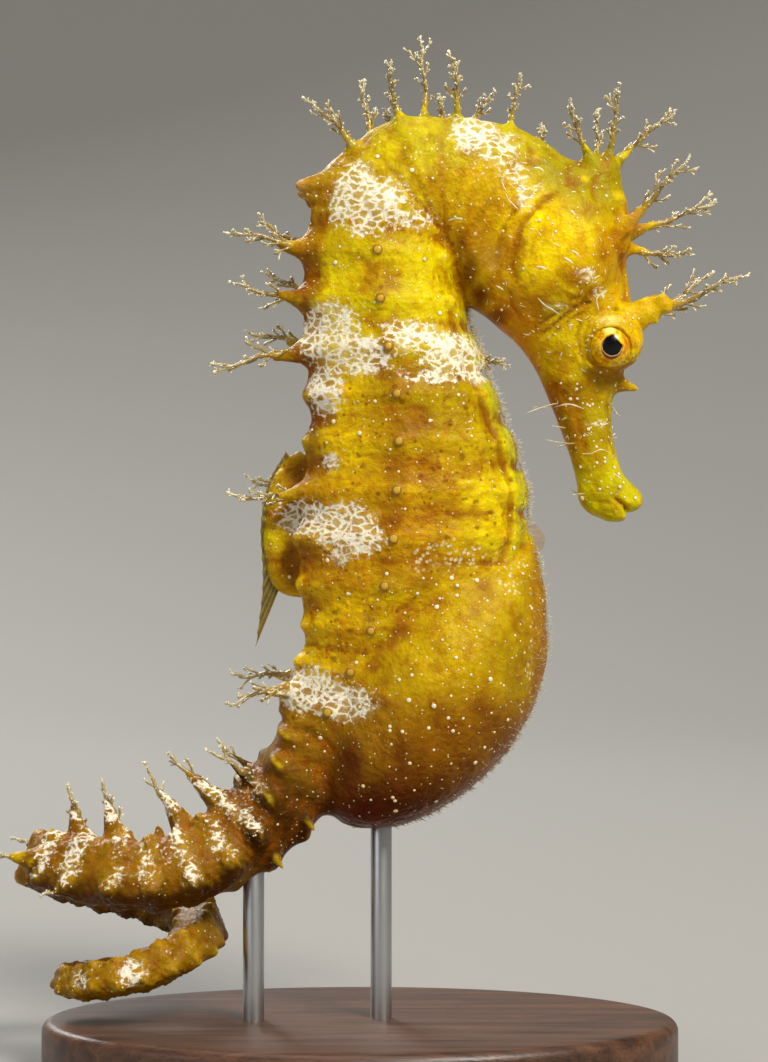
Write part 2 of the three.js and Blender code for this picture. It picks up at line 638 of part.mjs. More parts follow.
// ---- fins ------------------------------------------------------------------------------------------------

const FIN_THICK = 0.55;

// A flat fin from an outline in x and z, standing in the plane of symmetry.
function finPlate(outline, thick = FIN_THICK) {
  const shape = new THREE.Shape(outline.map(([x, z]) => new THREE.Vector2(x, z)));
  const plate = new THREE.ExtrudeGeometry(shape, { depth: thick, bevelEnabled: false });
  return plate.rotateX(Math.PI / 2).translate(0, thick / 2, 0);
}

// Dorsal fin: its foot lies along the back, and its rays sweep down and back.
const DORSAL_FIN = [
  [-4.4, 52.4],
  [-6.2, 52.8],
  [-7.7, 50.0],
  [-8.4, 47.0],
  [-8.5, 44.0],
  [-8.2, 41.0],
  [-8.4, 38.6],
  [-8.9, 35.9],
  [-8.3, 36.8],
  [-7.2, 40.4],
  [-4.2, 41.8],
];
const trunkBackGrown = trunkLength(3, TRUNK_RINGS - 1, middleStart - 1, TRUNK_END, CUT);
const dorsalFin = solidOf(finPlate(DORSAL_FIN)).subtract(trunkBackGrown);
addPart(seahorse, "dorsal_fin", largest(dorsalFin), FIN());

// Anal fin: a small lobe above the pouch, on the belly's middle line.
const ANAL_FIN = [
  [13.6, 46.3],
  [15.0, 46.6],
  [15.8, 45.4],
  [15.6, 44.2],
  [14.4, 44.0],
];
const analPlate = solidOf(finPlate(ANAL_FIN));
const pouchWithNotch = pouch.subtract(
  solidOf(finPlate([[13.3, 46.7], [15.8, 47.2], [16.8, 45.4], [16.4, 43.7], [14.1, 43.6]], 1.15)),
);
addPart(seahorse, "anal_fin", largest(analPlate.subtract(trunkGrown)), FIN());

// Pectoral fins: a small fan behind each gill cover, spread a little from the neck.
const PECTORAL = { foot: [12.6, 70.2], reach: 4.0, from: 2.55, spread: 1.75, flare: 0.42, y: 4.35 };
for (const [side, word] of [[-1, "right"], [1, "left"]]) {
  const fan = new THREE.Shape();
  fan.moveTo(0, 0);
  fan.absarc(0, 0, PECTORAL.reach, PECTORAL.from, PECTORAL.from + PECTORAL.spread, false);
  fan.lineTo(0, 0);
  const plate = new THREE.ExtrudeGeometry(fan, {
    depth: FIN_THICK, bevelEnabled: false, curveSegments: 8,
  });
  plate.rotateX(Math.PI / 2).translate(0, FIN_THICK / 2, 0);
  plate.rotateZ(side * -PECTORAL.flare);
  plate.translate(PECTORAL.foot[0], side * PECTORAL.y, PECTORAL.foot[1]);
  const neckGrown = headLength(NECK_START - 4, neckEnd, CUT);
  const fin = solidOf(plate).subtract(neckGrown);
  addPart(seahorse, `pectoral_fin_${word}`, largest(fin), FIN());
}

// ---- stand -----------------------------------------------------------------------------------------------

// A rod that stands in a socket in the base and in one drilled up into the animal.
const RODS = [
  { name: "stand_rod_front", x: 1.8, y: 0, top: 20.7 },
  { name: "stand_rod_rear", x: -9.0, y: -1.0, top: 17.4 },
];
const rodCylinder = (rod, grow, bottom) => {
  const top = rod.top + ROD.bite + grow;
  const length = top - bottom;
  const shaft = new THREE.CylinderGeometry(ROD.radius + grow, ROD.radius + grow, length, 16);
  return shaft.rotateX(Math.PI / 2).translate(rod.x, rod.y, bottom + length / 2);
};
const socketFloor = BASE.height - ROD.socket;

const oval = new THREE.Shape();
oval.absellipse(0, 0, BASE.length / 2, BASE.width / 2, 0, 2 * Math.PI, false, 0);
const slab = new THREE.ExtrudeGeometry(oval, {
  depth: BASE.height - BASE.chamfer,
  curveSegments: 12,
  bevelEnabled: true,
  bevelThickness: BASE.chamfer,
  bevelSize: BASE.chamfer,
  bevelOffset: -BASE.chamfer,
  bevelSegments: 1,
});
let base = solidOf(slab).trimByPlane([0, 0, 1], 0);
for (const rod of RODS) {
  base = base.subtract(solidOf(rodCylinder(rod, CUT, socketFloor - CUT)));
  const mesh = new THREE.Mesh(rodCylinder(rod, 0, socketFloor), STEEL());
  mesh.name = rod.name;
  stand.add(mesh);
}
addPart(stand, "stand_base", base, WOOD());

addPart(
  seahorse,
  "pouch",
  largest(pouchWithNotch.subtract(solidOf(rodCylinder(RODS[0], CUT, 0)))),
  POUCH_SKIN(),
);
const rootPart = seahorse.children.find((mesh) => mesh.name === "tail_1");
const drilledRoot = solidOf(rootPart.geometry).subtract(solidOf(rodCylinder(RODS[1], CUT, 0)));
seahorse.remove(rootPart);
addPart(seahorse, "tail_1", drilledRoot, SKIN());

const model = new THREE.Group();
model.add(seahorse, stand);

export default model;
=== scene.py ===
"""A life-size long-snouted seahorse, an adult male in its yellow colouring, on a plain display stand.

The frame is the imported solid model. One skin stands over all of its flesh: lofts, domes, tubes and
cones are worked out with numpy, melted together on a voxel grid, and then given their creases,
knobs and colours. The branched filaments, the hairs, the fins, the eyes and the stand are pieces of
their own. Tables are in millimetres; a piece becomes metres when it is made.
"""

import math

import bpy
import numpy as np
import openvdb
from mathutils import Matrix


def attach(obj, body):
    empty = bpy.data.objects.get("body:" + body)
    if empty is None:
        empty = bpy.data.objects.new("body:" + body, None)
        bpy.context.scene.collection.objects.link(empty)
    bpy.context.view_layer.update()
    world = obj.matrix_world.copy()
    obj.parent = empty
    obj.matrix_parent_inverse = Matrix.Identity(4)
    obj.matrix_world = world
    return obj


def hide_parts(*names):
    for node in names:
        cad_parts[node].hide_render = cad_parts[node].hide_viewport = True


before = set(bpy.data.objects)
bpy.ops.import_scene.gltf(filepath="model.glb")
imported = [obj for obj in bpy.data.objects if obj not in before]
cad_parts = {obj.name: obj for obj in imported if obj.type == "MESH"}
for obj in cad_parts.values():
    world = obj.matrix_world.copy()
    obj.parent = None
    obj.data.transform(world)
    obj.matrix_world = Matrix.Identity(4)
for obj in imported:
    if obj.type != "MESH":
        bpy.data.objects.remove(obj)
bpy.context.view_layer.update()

MM = 0.001
SIDES = ((-1, "right"), (1, "left"))

# ---- camera ---------------------------------------------------------------------------------------

# Level with the middle of the animal and square to its right side.
camera_data = bpy.data.cameras.new("camera")
camera_data.lens = 100
camera_data.sensor_width = 36
camera_data.clip_start = 0.01
camera_data.clip_end = 20
camera = bpy.data.objects.new("camera", camera_data)
camera.location = (2.04 * MM, -250.75 * MM, 45.9 * MM)
camera.rotation_euler = (math.radians(90), 0, 0)
bpy.context.scene.collection.objects.link(camera)
bpy.context.scene.camera = camera
bpy.context.scene.view_settings.view_transform = "Standard"

# ---- sizes and places (mm) ------------------------------------------------------------------------

# Cross-sections of the body from the mouth to the tail's root:
# the back's x and z, the belly's x and z, and half the width.
BODY = np.array([
    (23.3, 47.7, 21.1, 46.9, 0.8), (23.9, 48.5, 19.6, 47.3, 1.25), (23.5, 49.5, 18.6, 48.4, 1.5),
    (22.4, 50.7, 18.4, 50.0, 1.65), (21.8, 52.4, 17.9, 52.0, 1.75), (21.4, 54.7, 17.0, 54.6, 1.85),
    (21.5, 57.2, 16.0, 57.1, 2.1), (22.3, 59.2, 15.1, 59.2, 2.5), (23.0, 61.3, 14.2, 60.7, 2.8),
    (23.2, 63.7, 13.2, 61.9, 3.0), (22.9, 66.3, 11.8, 63.1, 3.4), (22.6, 68.8, 10.9, 63.9, 3.8),
    (22.9, 71.3, 10.0, 64.5, 4.1), (22.6, 74.2, 8.8, 65.3, 4.1), (21.0, 76.3, 8.0, 66.4, 3.9),
    (17.8, 77.5, 7.4, 67.4, 3.8), (14.6, 79.6, 7.1, 68.3, 3.9), (10.9, 80.7, 7.0, 69.1, 4.1),
    (7.0, 81.1, 7.1, 69.7, 4.3), (3.4, 80.9, 7.3, 70.0, 4.5), (0.3, 79.6, 7.5, 70.2, 4.7),
    (-2.1, 77.3, 7.7, 70.4, 4.9), (-3.7, 74.2, 7.8, 70.3, 5.1), (-4.6, 71.0, 8.1, 69.4, 5.2),
    (-5.0, 68.0, 8.5, 67.4, 5.4), (-5.0, 64.4, 9.2, 64.2, 5.7), (-4.8, 60.6, 10.4, 60.6, 6.0),
    (-4.4, 56.8, 11.8, 56.8, 6.3), (-4.5, 52.8, 13.3, 52.8, 6.5), (-5.0, 48.6, 14.3, 48.8, 6.7),
    (-5.3, 44.6, 13.9, 44.6, 6.8), (-5.0, 40.6, 11.4, 40.4, 6.5), (-4.7, 36.9, 7.6, 35.6, 5.8),
    (-5.8, 33.5, 4.0, 31.2, 4.9), (-7.1, 30.6, 1.4, 27.2, 4.2),
])
BODY_END = len(BODY) - 1
NECK_START, TRUNK_START, CHEST = 15, 23, 26
RING_PITCH, FIRST_RING, TRUNK_RINGS = 4.05, 0.9, 11
RING_RISE, KNOB_RADIUS = 0.16, 0.5

# Half of the trunk's section from back to keel, as (across, up) shares of its half width and depth,
# with ridges at points 1, 4 and 7 and the keel at 8.
RIDGED = np.array([
    (0, 0.95), (0.42, 1.0), (0.68, 0.76), (0.88, 0.42), (1.0, 0.03), (0.93, -0.34), (0.77, -0.66),
    (0.46, -0.89), (0, -1.0),
])

# Brood pouch: inner x and z, outer x and z, half the width.
POUCH = np.array([
    (12.2, 45.8, 14.7, 45.2, 0.6), (5.0, 43.6, 15.3, 43.0, 3.9), (1.6, 40.0, 15.8, 39.4, 6.2),
    (-0.9, 35.8, 15.9, 35.8, 7.7), (-2.6, 31.6, 14.9, 31.4, 8.2), (-3.4, 27.8, 12.6, 27.3, 7.8),
    (-3.5, 24.5, 9.0, 23.8, 6.5), (-3.0, 22.4, 4.8, 21.4, 4.4), (-1.6, 21.2, 1.2, 20.6, 1.6),
])

TAIL_LINE = np.array([
    (-2.9, 0, 28.95), (-4.5, 0, 26.0), (-6.9, -0.4, 23.0), (-9.6, -1.2, 20.3), (-12.5, -2.3, 18.4),
    (-15.6, -3.1, 17.3), (-19.2, -3.4, 17.0), (-22.6, -2.6, 17.3), (-25.6, -0.2, 17.5),
    (-26.9, 3.8, 16.9), (-25.6, 7.6, 15.9), (-22.5, 9.9, 14.7), (-18.5, 10.2, 13.6),
    (-15.6, 8.0, 12.8), (-13.9, 4.2, 12.0), (-13.9, -0.2, 11.2), (-15.4, -3.3, 10.3),
    (-18.2, -4.8, 9.2), (-21.8, -4.4, 8.3), (-24.4, -2.0, 7.8), (-24.7, 1.2, 7.8),
    (-23.0, 3.5, 8.1), (-20.7, 3.6, 8.5), (-19.7, 1.9, 8.6),
])
TAIL_AXIS = (-19.4, 2.8)
TAIL_GIRTH = np.array([4.15, 3.5, 3.1, 2.75, 2.45, 2.3, 2.2, 2.0, 1.65, 1.2, 0.4])
TAIL_RINGS, TAIL_PITCH, TAIL_BEAD_PITCH = 37, (3.4, 1.35), 0.62

EYE = np.array([21.1, 3.35, 61.4])
TURRET = np.array([21.45, 2.3, 61.85])
EYE_RADIUS, EYE_FOLD_PITCH = 1.75, 0.56
TURRET_ACROSS, TURRET_OUT = 2.45, 2.25
GILL = dict(place=(17.0, 2.6, 69.3), radii=(4.3, 2.5, 5.0), lean=0.5)
CROWN = dict(place=(20.5, 0, 76.3), radii=(1.6, 1.7, 1.5), lean=0.5)

# Filaments: from, to, and half the thickness of the root.
FRONDS = {
    "crown": [
        ((21.5, 0.6, 77.0), (26.9, 1.4, 81.7), 0.6), ((21.0, -0.8, 77.2), (21.7, -2.0, 83.2), 0.5),
        ((20.2, 1.1, 77.4), (20.2, 2.8, 81.8), 0.5), ((19.4, -0.9, 77.5), (17.7, -2.4, 81.8), 0.5),
    ],
    "face": [
        ((23.0, -2.2, 63.8), (31.9, -3.8, 67.4), 1.3), ((23.0, 2.2, 64.1), (30.4, 4.6, 68.2), 1.3),
        ((21.9, -1.8, 70.9), (27.4, -3.4, 77.0), 1.0), ((22.5, 1.6, 71.2), (30.5, 3.4, 74.2), 0.8),
        ((22.8, 0.2, 69.9), (28.0, 0.4, 69.5), 0.5),
    ],
    "nape": [
        ((12.6, -0.9, 79.6), (13.6, -1.4, 84.1), 0.45), ((8.2, -1.7, 80.2), (7.8, -2.8, 85.8), 0.6),
        ((5.5, 1.6, 80.2), (5.2, 2.6, 87.6), 0.6), ((3.6, -1.8, 79.8), (2.4, -3.0, 85.0), 0.65),
        ((0.9, 1.8, 78.8), (0, 3.0, 84.1), 0.6), ((0.1, -1.9, 77.3), (-4.1, -3.2, 81.9), 0.85),
        ((9.0, -1.2, 79.9), (11.2, -2.0, 82.8), 0.45), ((7.0, 0.8, 80.1), (6.8, 1.2, 83.0), 0.45),
        ((2.6, -0.6, 79.4), (2.2, -0.8, 81.4), 0.4), ((15.2, 0.4, 78.4), (15.5, 0.5, 80.2), 0.4),
    ],
    "back": [
        ((-3.8, 2.0, 69.9), (-8.7, 3.4, 72.5), 0.7), ((-3.8, -2.0, 69.2), (-10.6, -4.0, 71.0), 0.8),
        ((-3.9, 2.1, 66.0), (-8.2, 3.6, 68.0), 0.7), ((-3.9, -2.1, 65.3), (-10.3, -4.2, 66.5), 0.85),
        ((-3.7, 2.2, 61.6), (-9.6, 3.8, 62.8), 0.9), ((-3.7, -2.2, 60.9), (-11.5, -4.4, 59.5), 1.1),
        ((-3.8, -2.6, 49.0), (-10.2, -4.6, 48.6), 0.8), ((-3.8, 2.6, 49.4), (-9.4, 4.8, 50.0), 0.8),
        ((-4.8, -2.4, 32.9), (-10.9, -4.4, 31.3), 0.9), ((-4.8, 2.2, 33.4), (-10.5, 4.2, 33.2), 0.9),
    ],
    "chest": [((9.4, 0, 60.6), (12.4, -0.4, 60.0), 0.5)],
    "tail": [
        ((-8.4, 1.5, 24.9), (-12.2, 2.6, 27.7), 0.7), ((-7.9, -1.7, 24.0), (-12.4, -2.6, 27.4), 0.95),
        ((-10.9, -1.1, 22.0), (-16.4, -0.8, 27.0), 1.35), ((-14.3, -1.9, 20.2), (-18.0, -1.6, 25.6), 1.3),
        ((-20.2, -2.4, 18.9), (-21.8, -2.2, 24.8), 1.25), ((-23.4, -1.5, 18.9), (-24.7, -1.4, 24.3), 1.3),
        ((-22.8, -2.6, 16.0), (-26.4, -5.0, 15.6), 0.9), ((-26.4, -1.8, 18.0), (-30.5, -3.0, 18.7), 1.25),
        ((-26.8, 5.0, 17.8), (-30.0, 5.6, 19.2), 0.7), ((-21.0, 10.6, 15.4), (-22.6, 13.6, 17.0), 0.7),
        ((-15.8, 9.2, 14.2), (-14.2, 12.6, 15.6), 0.6),
    ],
}
# Plain fleshy spines and flaps, with no twigs.
SPINES = [
    ((20.7, 0, 58.7), (23.9, 0, 57.9), 1.0), ((18.8, -2.0, 60.3), (19.6, -3.5, 59.6), 0.5),
    ((18.8, 2.0, 60.3), (19.6, 3.5, 59.6), 0.5), ((-10.6, -2.6, 19.4), (-12.4, -3.9, 21.2), 0.7),
    ((24.2, -2.4, 64.7), (25.1, -2.7, 63.2), 0.5), ((25.6, -2.8, 65.1), (26.2, -2.9, 64.2), 0.35),
    ((24.2, 2.4, 64.9), (25.0, 2.7, 63.5), 0.5), ((25.4, 2.9, 65.4), (26.0, 3.1, 64.5), 0.35),
    ((-19.2, -2.6, 18.8), (-19.5, -2.4, 21.2), 0.7), ((-16.9, -2.6, 19.0), (-17.0, -2.2, 21.3), 0.7),
    ((-13.6, -2.0, 19.6), (-13.4, -1.6, 21.8), 0.6), ((-22.0, -2.2, 18.6), (-22.8, -2.2, 20.6), 0.6),
    ((-5.9, -1.6, 23.2), (-3.6, -3.6, 20.6), 1.0), ((-8.2, -1.8, 20.2), (-6.3, -3.7, 17.4), 0.9),
    ((-5.9, 1.4, 23.2), (-3.9, 3.4, 20.8), 1.0), ((-8.2, 0.8, 20.2), (-6.6, 2.4, 17.5), 0.85),
]
# Long pale hairs on the snout: root and tip in x and z, on both sides.
SNOUT_HAIRS = [
    ((16.9, 56.7), (14.6, 56.5)), ((18.2, 53.3), (15.9, 53.1)), ((19.0, 49.0), (17.4, 49.2)),
    ((21.0, 56.7), (22.3, 55.4)), ((20.9, 53.6), (21.9, 53.9)), ((17.4, 54.6), (16.3, 54.8)),
]

# The raised fleshy foot of the dorsal fin, down the back, as x and z with half the thickness.
FIN_LOBE = np.array([
    (-4.6, 52.2, 0.8), (-5.8, 50.9, 1.2), (-6.4, 48.8, 1.45), (-6.7, 46.2, 1.5), (-6.7, 43.8, 1.45),
    (-6.2, 41.8, 1.25), (-4.8, 41.0, 0.9),
])
# The raised flap of skin on each shoulder, as three tongues: x, distance from the middle plane, z
# and half thickness.
SHOULDER_FLAP = np.array([
    [(-1.6, 1.9, 75.2, 0.8), (-3.4, 2.3, 75.0, 0.85), (-5.4, 2.75, 74.8, 0.42)],
    [(-1.8, 1.9, 74.2, 0.8), (-3.2, 2.3, 74.1, 0.75), (-4.75, 2.6, 73.9, 0.42)],
    [(-2.2, 1.9, 72.9, 0.8), (-3.2, 2.2, 72.9, 0.7), (-4.25, 2.4, 72.6, 0.40)],
])
BASE = dict(length=54, width=36, height=4.5, edge=0.9)
# Rods: x, y and top, which goes a little way into the pouch and the tail.
ROD_RADIUS, ROD_SUNK = 0.9, 1.2
RODS = {
    "stand_rod_front": (1.8, 0, 20.7 + ROD_SUNK), "stand_rod_rear": (-9.0, -1.0, 17.4 + ROD_SUNK),
}
# The skin's triangles, and how many points are looked up on the body or the tail at a time.
SKIN_TRIANGLES, BLOCK = 196000, 4000
# Steps along the lines of the body, the tail and the pouch: fine for lengths, coarser for look-ups.
BODY_STEPS, TAIL_STEPS, BODY_LOOKUP, TAIL_LOOKUP, POUCH_LOOKUP = 1361, 1201, 681, 700, 161
# Rows and points round of the trunk's, the pouch's and the tail's surfaces before they melt.
TRUNK_ROWS, TRUNK_HALF, POUCH_ROWS, POUCH_AROUND, TAIL_ROWS, TAIL_AROUND = 460, 49, 120, 80, 560, 48


# ---- curves and shapes ----------------------------------------------------------------------------

def spline(points, t):
    """Catmull-Rom curve: t counts points from 0, and between two neighbours every coordinate is a
    cubic of t whose slopes are half the step from the point before to the point after."""
    p = np.asarray(points, float)
    p = np.vstack([2 * p[0] - p[1], p, 2 * p[-1] - p[-2]])
    t = np.clip(np.asarray(t, float), 0, len(points) - 1)
    i = np.minimum(t.astype(int), len(points) - 2)
    u = (t - i)[..., None]
    a, b, c, d = p[i], p[i + 1], p[i + 2], p[i + 3]
    return 0.5 * (2 * b + (c - a) * u + (2 * a - 5 * b + 4 * c - d) * u**2
                  + (3 * b - a - 3 * c + d) * u**3)


def smooth(low, high, x):
    """0 below low, 1 above high, and 3u^2 - 2u^3 between."""
    u = np.clip((np.asarray(x, float) - low) / (high - low), 0, 1)
    return u * u * (3 - 2 * u)


def bell(x, width):
    """A bell curve of x: 1 at nought and e^-1 at the width."""
    return np.exp(-(np.asarray(x, float) / width) ** 2)


def unit(v):
    """Vectors brought to a length of 1."""
    return v / np.maximum(np.linalg.norm(v, axis=-1, keepdims=True), 1e-9)


def turns(count):
    """Even turns round a circle, from 0."""
    return np.arange(count) * 2 * np.pi / count


def from_xz(xz, y):
    """Points from their x and z together and their y."""
    return np.stack([xz[..., 0], np.broadcast_to(y, xz.shape[:-1]), xz[..., 1]], -1)


def running_length(points):
    """Length along a line of points, from its first point."""
    return np.concatenate([[0], np.cumsum(np.linalg.norm(np.diff(points, axis=0), axis=1))])


def section(t):
    """The body's cross-section at station t: its middle and its upward direction in x and z, half
    its depth and half its width."""
    s = spline(BODY, t)
    reach = (s[..., 0:2] - s[..., 2:4]) / 2
    deep = np.linalg.norm(reach, axis=-1)
    return s[..., 2:4] + reach, reach / deep[..., None], deep, s[..., 4]


body_steps = np.linspace(0, BODY_END, BODY_STEPS)
body_length = running_length(section(body_steps)[0])
trunk_zero = np.interp(TRUNK_START, body_steps, body_length)


def ring_count(t):
    """How many trunk rings lie before station t: whole numbers at the joints, halves at the ring
    middles."""
    return (np.interp(t, body_steps, body_length) - trunk_zero - FIRST_RING) / RING_PITCH + 0.5


ring_middles = np.interp(
    trunk_zero + FIRST_RING + np.arange(TRUNK_RINGS) * RING_PITCH, body_length, body_steps)


def half_outline(table, q):
    """A section's half outline at q, from 0 at the back to 8 at the keel: three parts Catmull-Rom
    to two parts straight lines, which keeps the ridges as soft edges."""
    curve = spline(table, q)
    straight = np.stack([np.interp(q, np.arange(9), table[:, k]) for k in (0, 1)], -1)
    return 0.6 * curve + 0.4 * straight


def body_points(t, q):
    """Points on the body at station t and q eighths of the way from back to keel, on the left side
    where q is positive and the right where it is negative."""
    middle, rise, deep, wide = section(t)
    turn = np.abs(q) * np.pi / 8
    round_section = np.stack([np.sin(turn), np.cos(turn)], -1)
    ridged = smooth(NECK_START, TRUNK_START, t)
    across, up = np.moveaxis(
        round_section + (half_outline(RIDGED, np.abs(q)) - round_section) * ridged[..., None], -1, 0)
    up = up + 0.13 * smooth(CHEST, CHEST + 3, t) * across**4
    crest = 0.5 - 0.5 * np.cos(2 * np.pi * ring_count(t))
    grown = ridged * RING_RISE * (crest**3 - 0.3)
    xz = middle + rise * (up * (deep + grown))[..., None]
    y = np.sign(q) * across * (wide + grown)
    return from_xz(xz, y)


def closed(rings):
    """Closed skins over rings of points, an array of skins x rows x points round x 3: neighbours
    are joined by four-sided faces, and each end row by a fan on its own middle point."""
    skins, rows, around = rings.shape[:3]
    each = rows * around + 2
    points = np.concatenate([
        rings.reshape(skins, rows * around, 3), rings[:, :1].mean(2), rings[:, -1:].mean(2)], 1)
    grid = np.arange(rows * around).reshape(rows, around)
    a, b = grid[:-1], grid[1:]
    quads = np.stack([a, b, np.roll(b, -1, 1), np.roll(a, -1, 1)], -1).reshape(-1, 4)
    first, last = grid[0], grid[-1]
    fans = np.concatenate([
        np.stack([np.full(around, each - 2), first, np.roll(first, -1)], -1),
        np.stack([np.full(around, each - 1), np.roll(last, -1), last], -1)])
    start = np.arange(skins)[:, None, None] * each
    return points.reshape(-1, 3), (quads + start).reshape(-1, 4), (fans + start).reshape(-1, 3)


def tubes(paths, radii, sides, flat=1.0):
    """Rings of tapering tubes: point j round a path point is path + radius (cos a side + sin a up),
    square to the path. flat thins the tube along its up direction."""
    along = unit(np.gradient(paths, axis=1))
    least = np.argmin(np.abs(paths[:, -1] - paths[:, 0]), axis=1)
    side = unit(np.cross(along, np.eye(3)[least][:, None]))
    up = np.cross(side, along) * flat
    turn = turns(sides)
    ring = np.cos(turn)[:, None] * side[:, :, None] + np.sin(turn)[:, None] * up[:, :, None]
    return paths[:, :, None] + radii[:, :, None, None] * ring


def ellipsoids(places, radii, lean=0.0, rows=24, around=32):
    """Rings of ellipsoids: a unit ball of latitudes and longitudes, scaled, leaned about y by an
    angle and set in its place."""
    down = np.linspace(0.06, np.pi - 0.06, rows)[:, None]
    turn = turns(around)[None, :]
    ball = np.stack([np.sin(down) * np.cos(turn), np.sin(down) * np.sin(turn),
                     np.cos(down) * np.ones_like(turn)], -1)
    ball = ball * np.asarray(radii, float).reshape(-1, 1, 1, 3)
    c, s = math.cos(lean), math.sin(lean)
    ball = ball @ np.array([(c, 0, s), (0, 1, 0), (-s, 0, c)]).T
    return ball + np.asarray(places, float).reshape(-1, 1, 1, 3)


def both_sides(place):
    """A place and its mirror image across the middle plane."""
    return np.array([place, place]) * np.array([(1, -1, 1), (1, 1, 1)])


# ---- tail line ------------------------------------------------------------------------------------

tail_steps = np.linspace(0, len(TAIL_LINE) - 1, TAIL_STEPS)
tail_line = spline(TAIL_LINE, tail_steps)
tail_length = running_length(tail_line)
TAIL_FULL = tail_length[-1]
tail_joints = np.concatenate([[0], np.cumsum(np.linspace(*TAIL_PITCH, TAIL_RINGS))])
tail_joints *= TAIL_FULL / tail_joints[-1]


def tail_frame(length):
    """The tail at a length: its point, its way forward, its outward back and its side. The back
    turns from the trunk's back to the outside of the coil over the first 18 mm."""
    at = np.interp(length, tail_length, tail_steps)
    point = spline(TAIL_LINE, at)
    along = unit(spline(TAIL_LINE, at + 0.02) - spline(TAIL_LINE, at - 0.02))
    across = point[..., 0] - TAIL_AXIS[0]
    across = np.where(length < 26, np.minimum(0, across), across)
    out = unit(np.stack([across, point[..., 1] - TAIL_AXIS[1], 0 * across], -1))
    out[..., 2] = 0.45
    turned = smooth(0, 18, length)[..., None]
    back = np.array([-0.96, 0, 0.29]) * (1 - turned) + out * turned
    back = unit(back - along * (back * along).sum(-1, keepdims=True))
    return point, along, back, np.cross(along, back)


def tail_girth(length):
    """Half the tail's thickness at a length, from eleven even stations."""
    return np.interp(length / TAIL_FULL * 10, np.arange(11), TAIL_GIRTH)


def tail_phase(length):
    """How many tail rings lie before a length: whole numbers at the joints."""
    return np.interp(length, tail_joints, np.arange(TAIL_RINGS + 1))


def tail_rings():
    """The tail's surface: a square section with softly rounded faces and four corner ridges, which
    swell into spines at every ring's middle and draw in at the joints."""
    length = np.linspace(0, TAIL_FULL, TAIL_ROWS)
    turn = turns(TAIL_AROUND)
    point, _, back, side = tail_frame(length)
    girth = tail_girth(length)[:, None]
    crest = (0.5 - 0.5 * np.cos(2 * np.pi * tail_phase(length)))[:, None] ** 1.6
    corner = np.abs(np.sin(2 * turn))[None, :]
    on_back = (np.cos(turn) > 0)[None, :]
    reach = girth * (0.92 + 0.13 * corner**1.5 + 0.035 * (crest - 0.6))
    reach = reach + crest * girth * np.where(on_back, 0.22, 0.14) * corner**7
    ring = point[:, None] + reach[..., None] * (
        np.cos(turn)[None, :, None] * back[:, None] + np.sin(turn)[None, :, None] * side[:, None])
    return ring[None]


# ---- melting the forms together -------------------------------------------------------------------

VOXEL = 0.2
BAND = 8
GRID_LOW = np.array([-165, -55, 22])
GRID_SIZE = np.array([330, 130, 400])
transform = openvdb.createLinearTransform(voxelSize=VOXEL)
flesh = np.full(GRID_SIZE, BAND * VOXEL, np.float32)


def field(rings):
    """The signed distance to closed skins, in mm, on the voxels round them: the slice of the whole
    grid they fill and the distances there."""
    points, quads, tris = closed(rings)
    grid = openvdb.FloatGrid.createLevelSetFromPolygons(
        points.astype(np.float32), triangles=tris.astype(np.uint32),
        quads=quads.astype(np.uint32), transform=transform, halfWidth=BAND)
    low = np.maximum(np.floor(points.min(0) / VOXEL).astype(int) - BAND - 1, GRID_LOW)
    high = np.minimum(np.ceil(points.max(0) / VOXEL).astype(int) + BAND + 2, GRID_LOW + GRID_SIZE)
    values = np.empty(high - low, np.float32)
    grid.copyToArray(values, ijk=tuple(int(v) for v in low))
    place = tuple(slice(a, b) for a, b in zip(low - GRID_LOW, high - GRID_LOW))
    return place, values


def melt(rings, fillet):
    """Adds forms to the flesh by a smooth minimum: where two distances differ by less than the
    fillet, the surface is drawn out into a rounded corner."""
    place, values = field(rings)
    own = flesh[place]
    share = np.clip(0.5 + 0.5 * (own - values) / fillet, 0, 1)
    flesh[place] = own + (values - own) * share - fillet * share * (1 - share)


def hollow(rings, fillet):
    """Takes forms out of the flesh by a smooth maximum with their reversed distance."""
    place, values = field(rings)
    own = flesh[place]
    share = np.clip(0.5 - 0.5 * (own + values) / fillet, 0, 1)
    flesh[place] = own + (-values - own) * share + fillet * share * (1 - share)


def spindle(starts, ends, roots, share, power=1.4, rows=12, sink=0.8):
    """Rings of cones that start a little inside a root and narrow as (1 - u)^power over a share of
    the way to the tip."""
    start, end = np.array(starts, float), np.array(ends, float)
    root = np.array(roots, float)[:, None]
    u = np.linspace(0, 1, rows)
    way = unit(end - start)
    span = np.linalg.norm(end - start, axis=1)[:, None] * share + sink
    paths = start[:, None] - way[:, None] * sink + way[:, None] * (span * u)[..., None]
    return tubes(paths, 0.16 + root * 1.25 * (1 - u) ** power, 16)


side_q = np.linspace(0, 8, TRUNK_HALF)
side_q = np.concatenate([side_q, -np.linspace(8, 0, TRUNK_HALF)[1:-1]])
body_rows = np.interp(np.linspace(0, body_length[-1], TRUNK_ROWS), body_length, body_steps)
melt(body_points(*np.broadcast_arrays(body_rows[:, None], side_q))[None], 0.1)

pouch_rows = spline(POUCH, np.linspace(0, len(POUCH) - 1, POUCH_ROWS))
turn = turns(POUCH_AROUND)
pouch_middle = (pouch_rows[:, 0:2] + pouch_rows[:, 2:4]) / 2
pouch_reach = (pouch_rows[:, 2:4] - pouch_rows[:, 0:2]) / 2
pouch_xz = pouch_middle[:, None] + pouch_reach[:, None] * np.cos(turn)[None, :, None]
melt(from_xz(pouch_xz, pouch_rows[:, 4, None] * np.sin(turn))[None], 1.1)

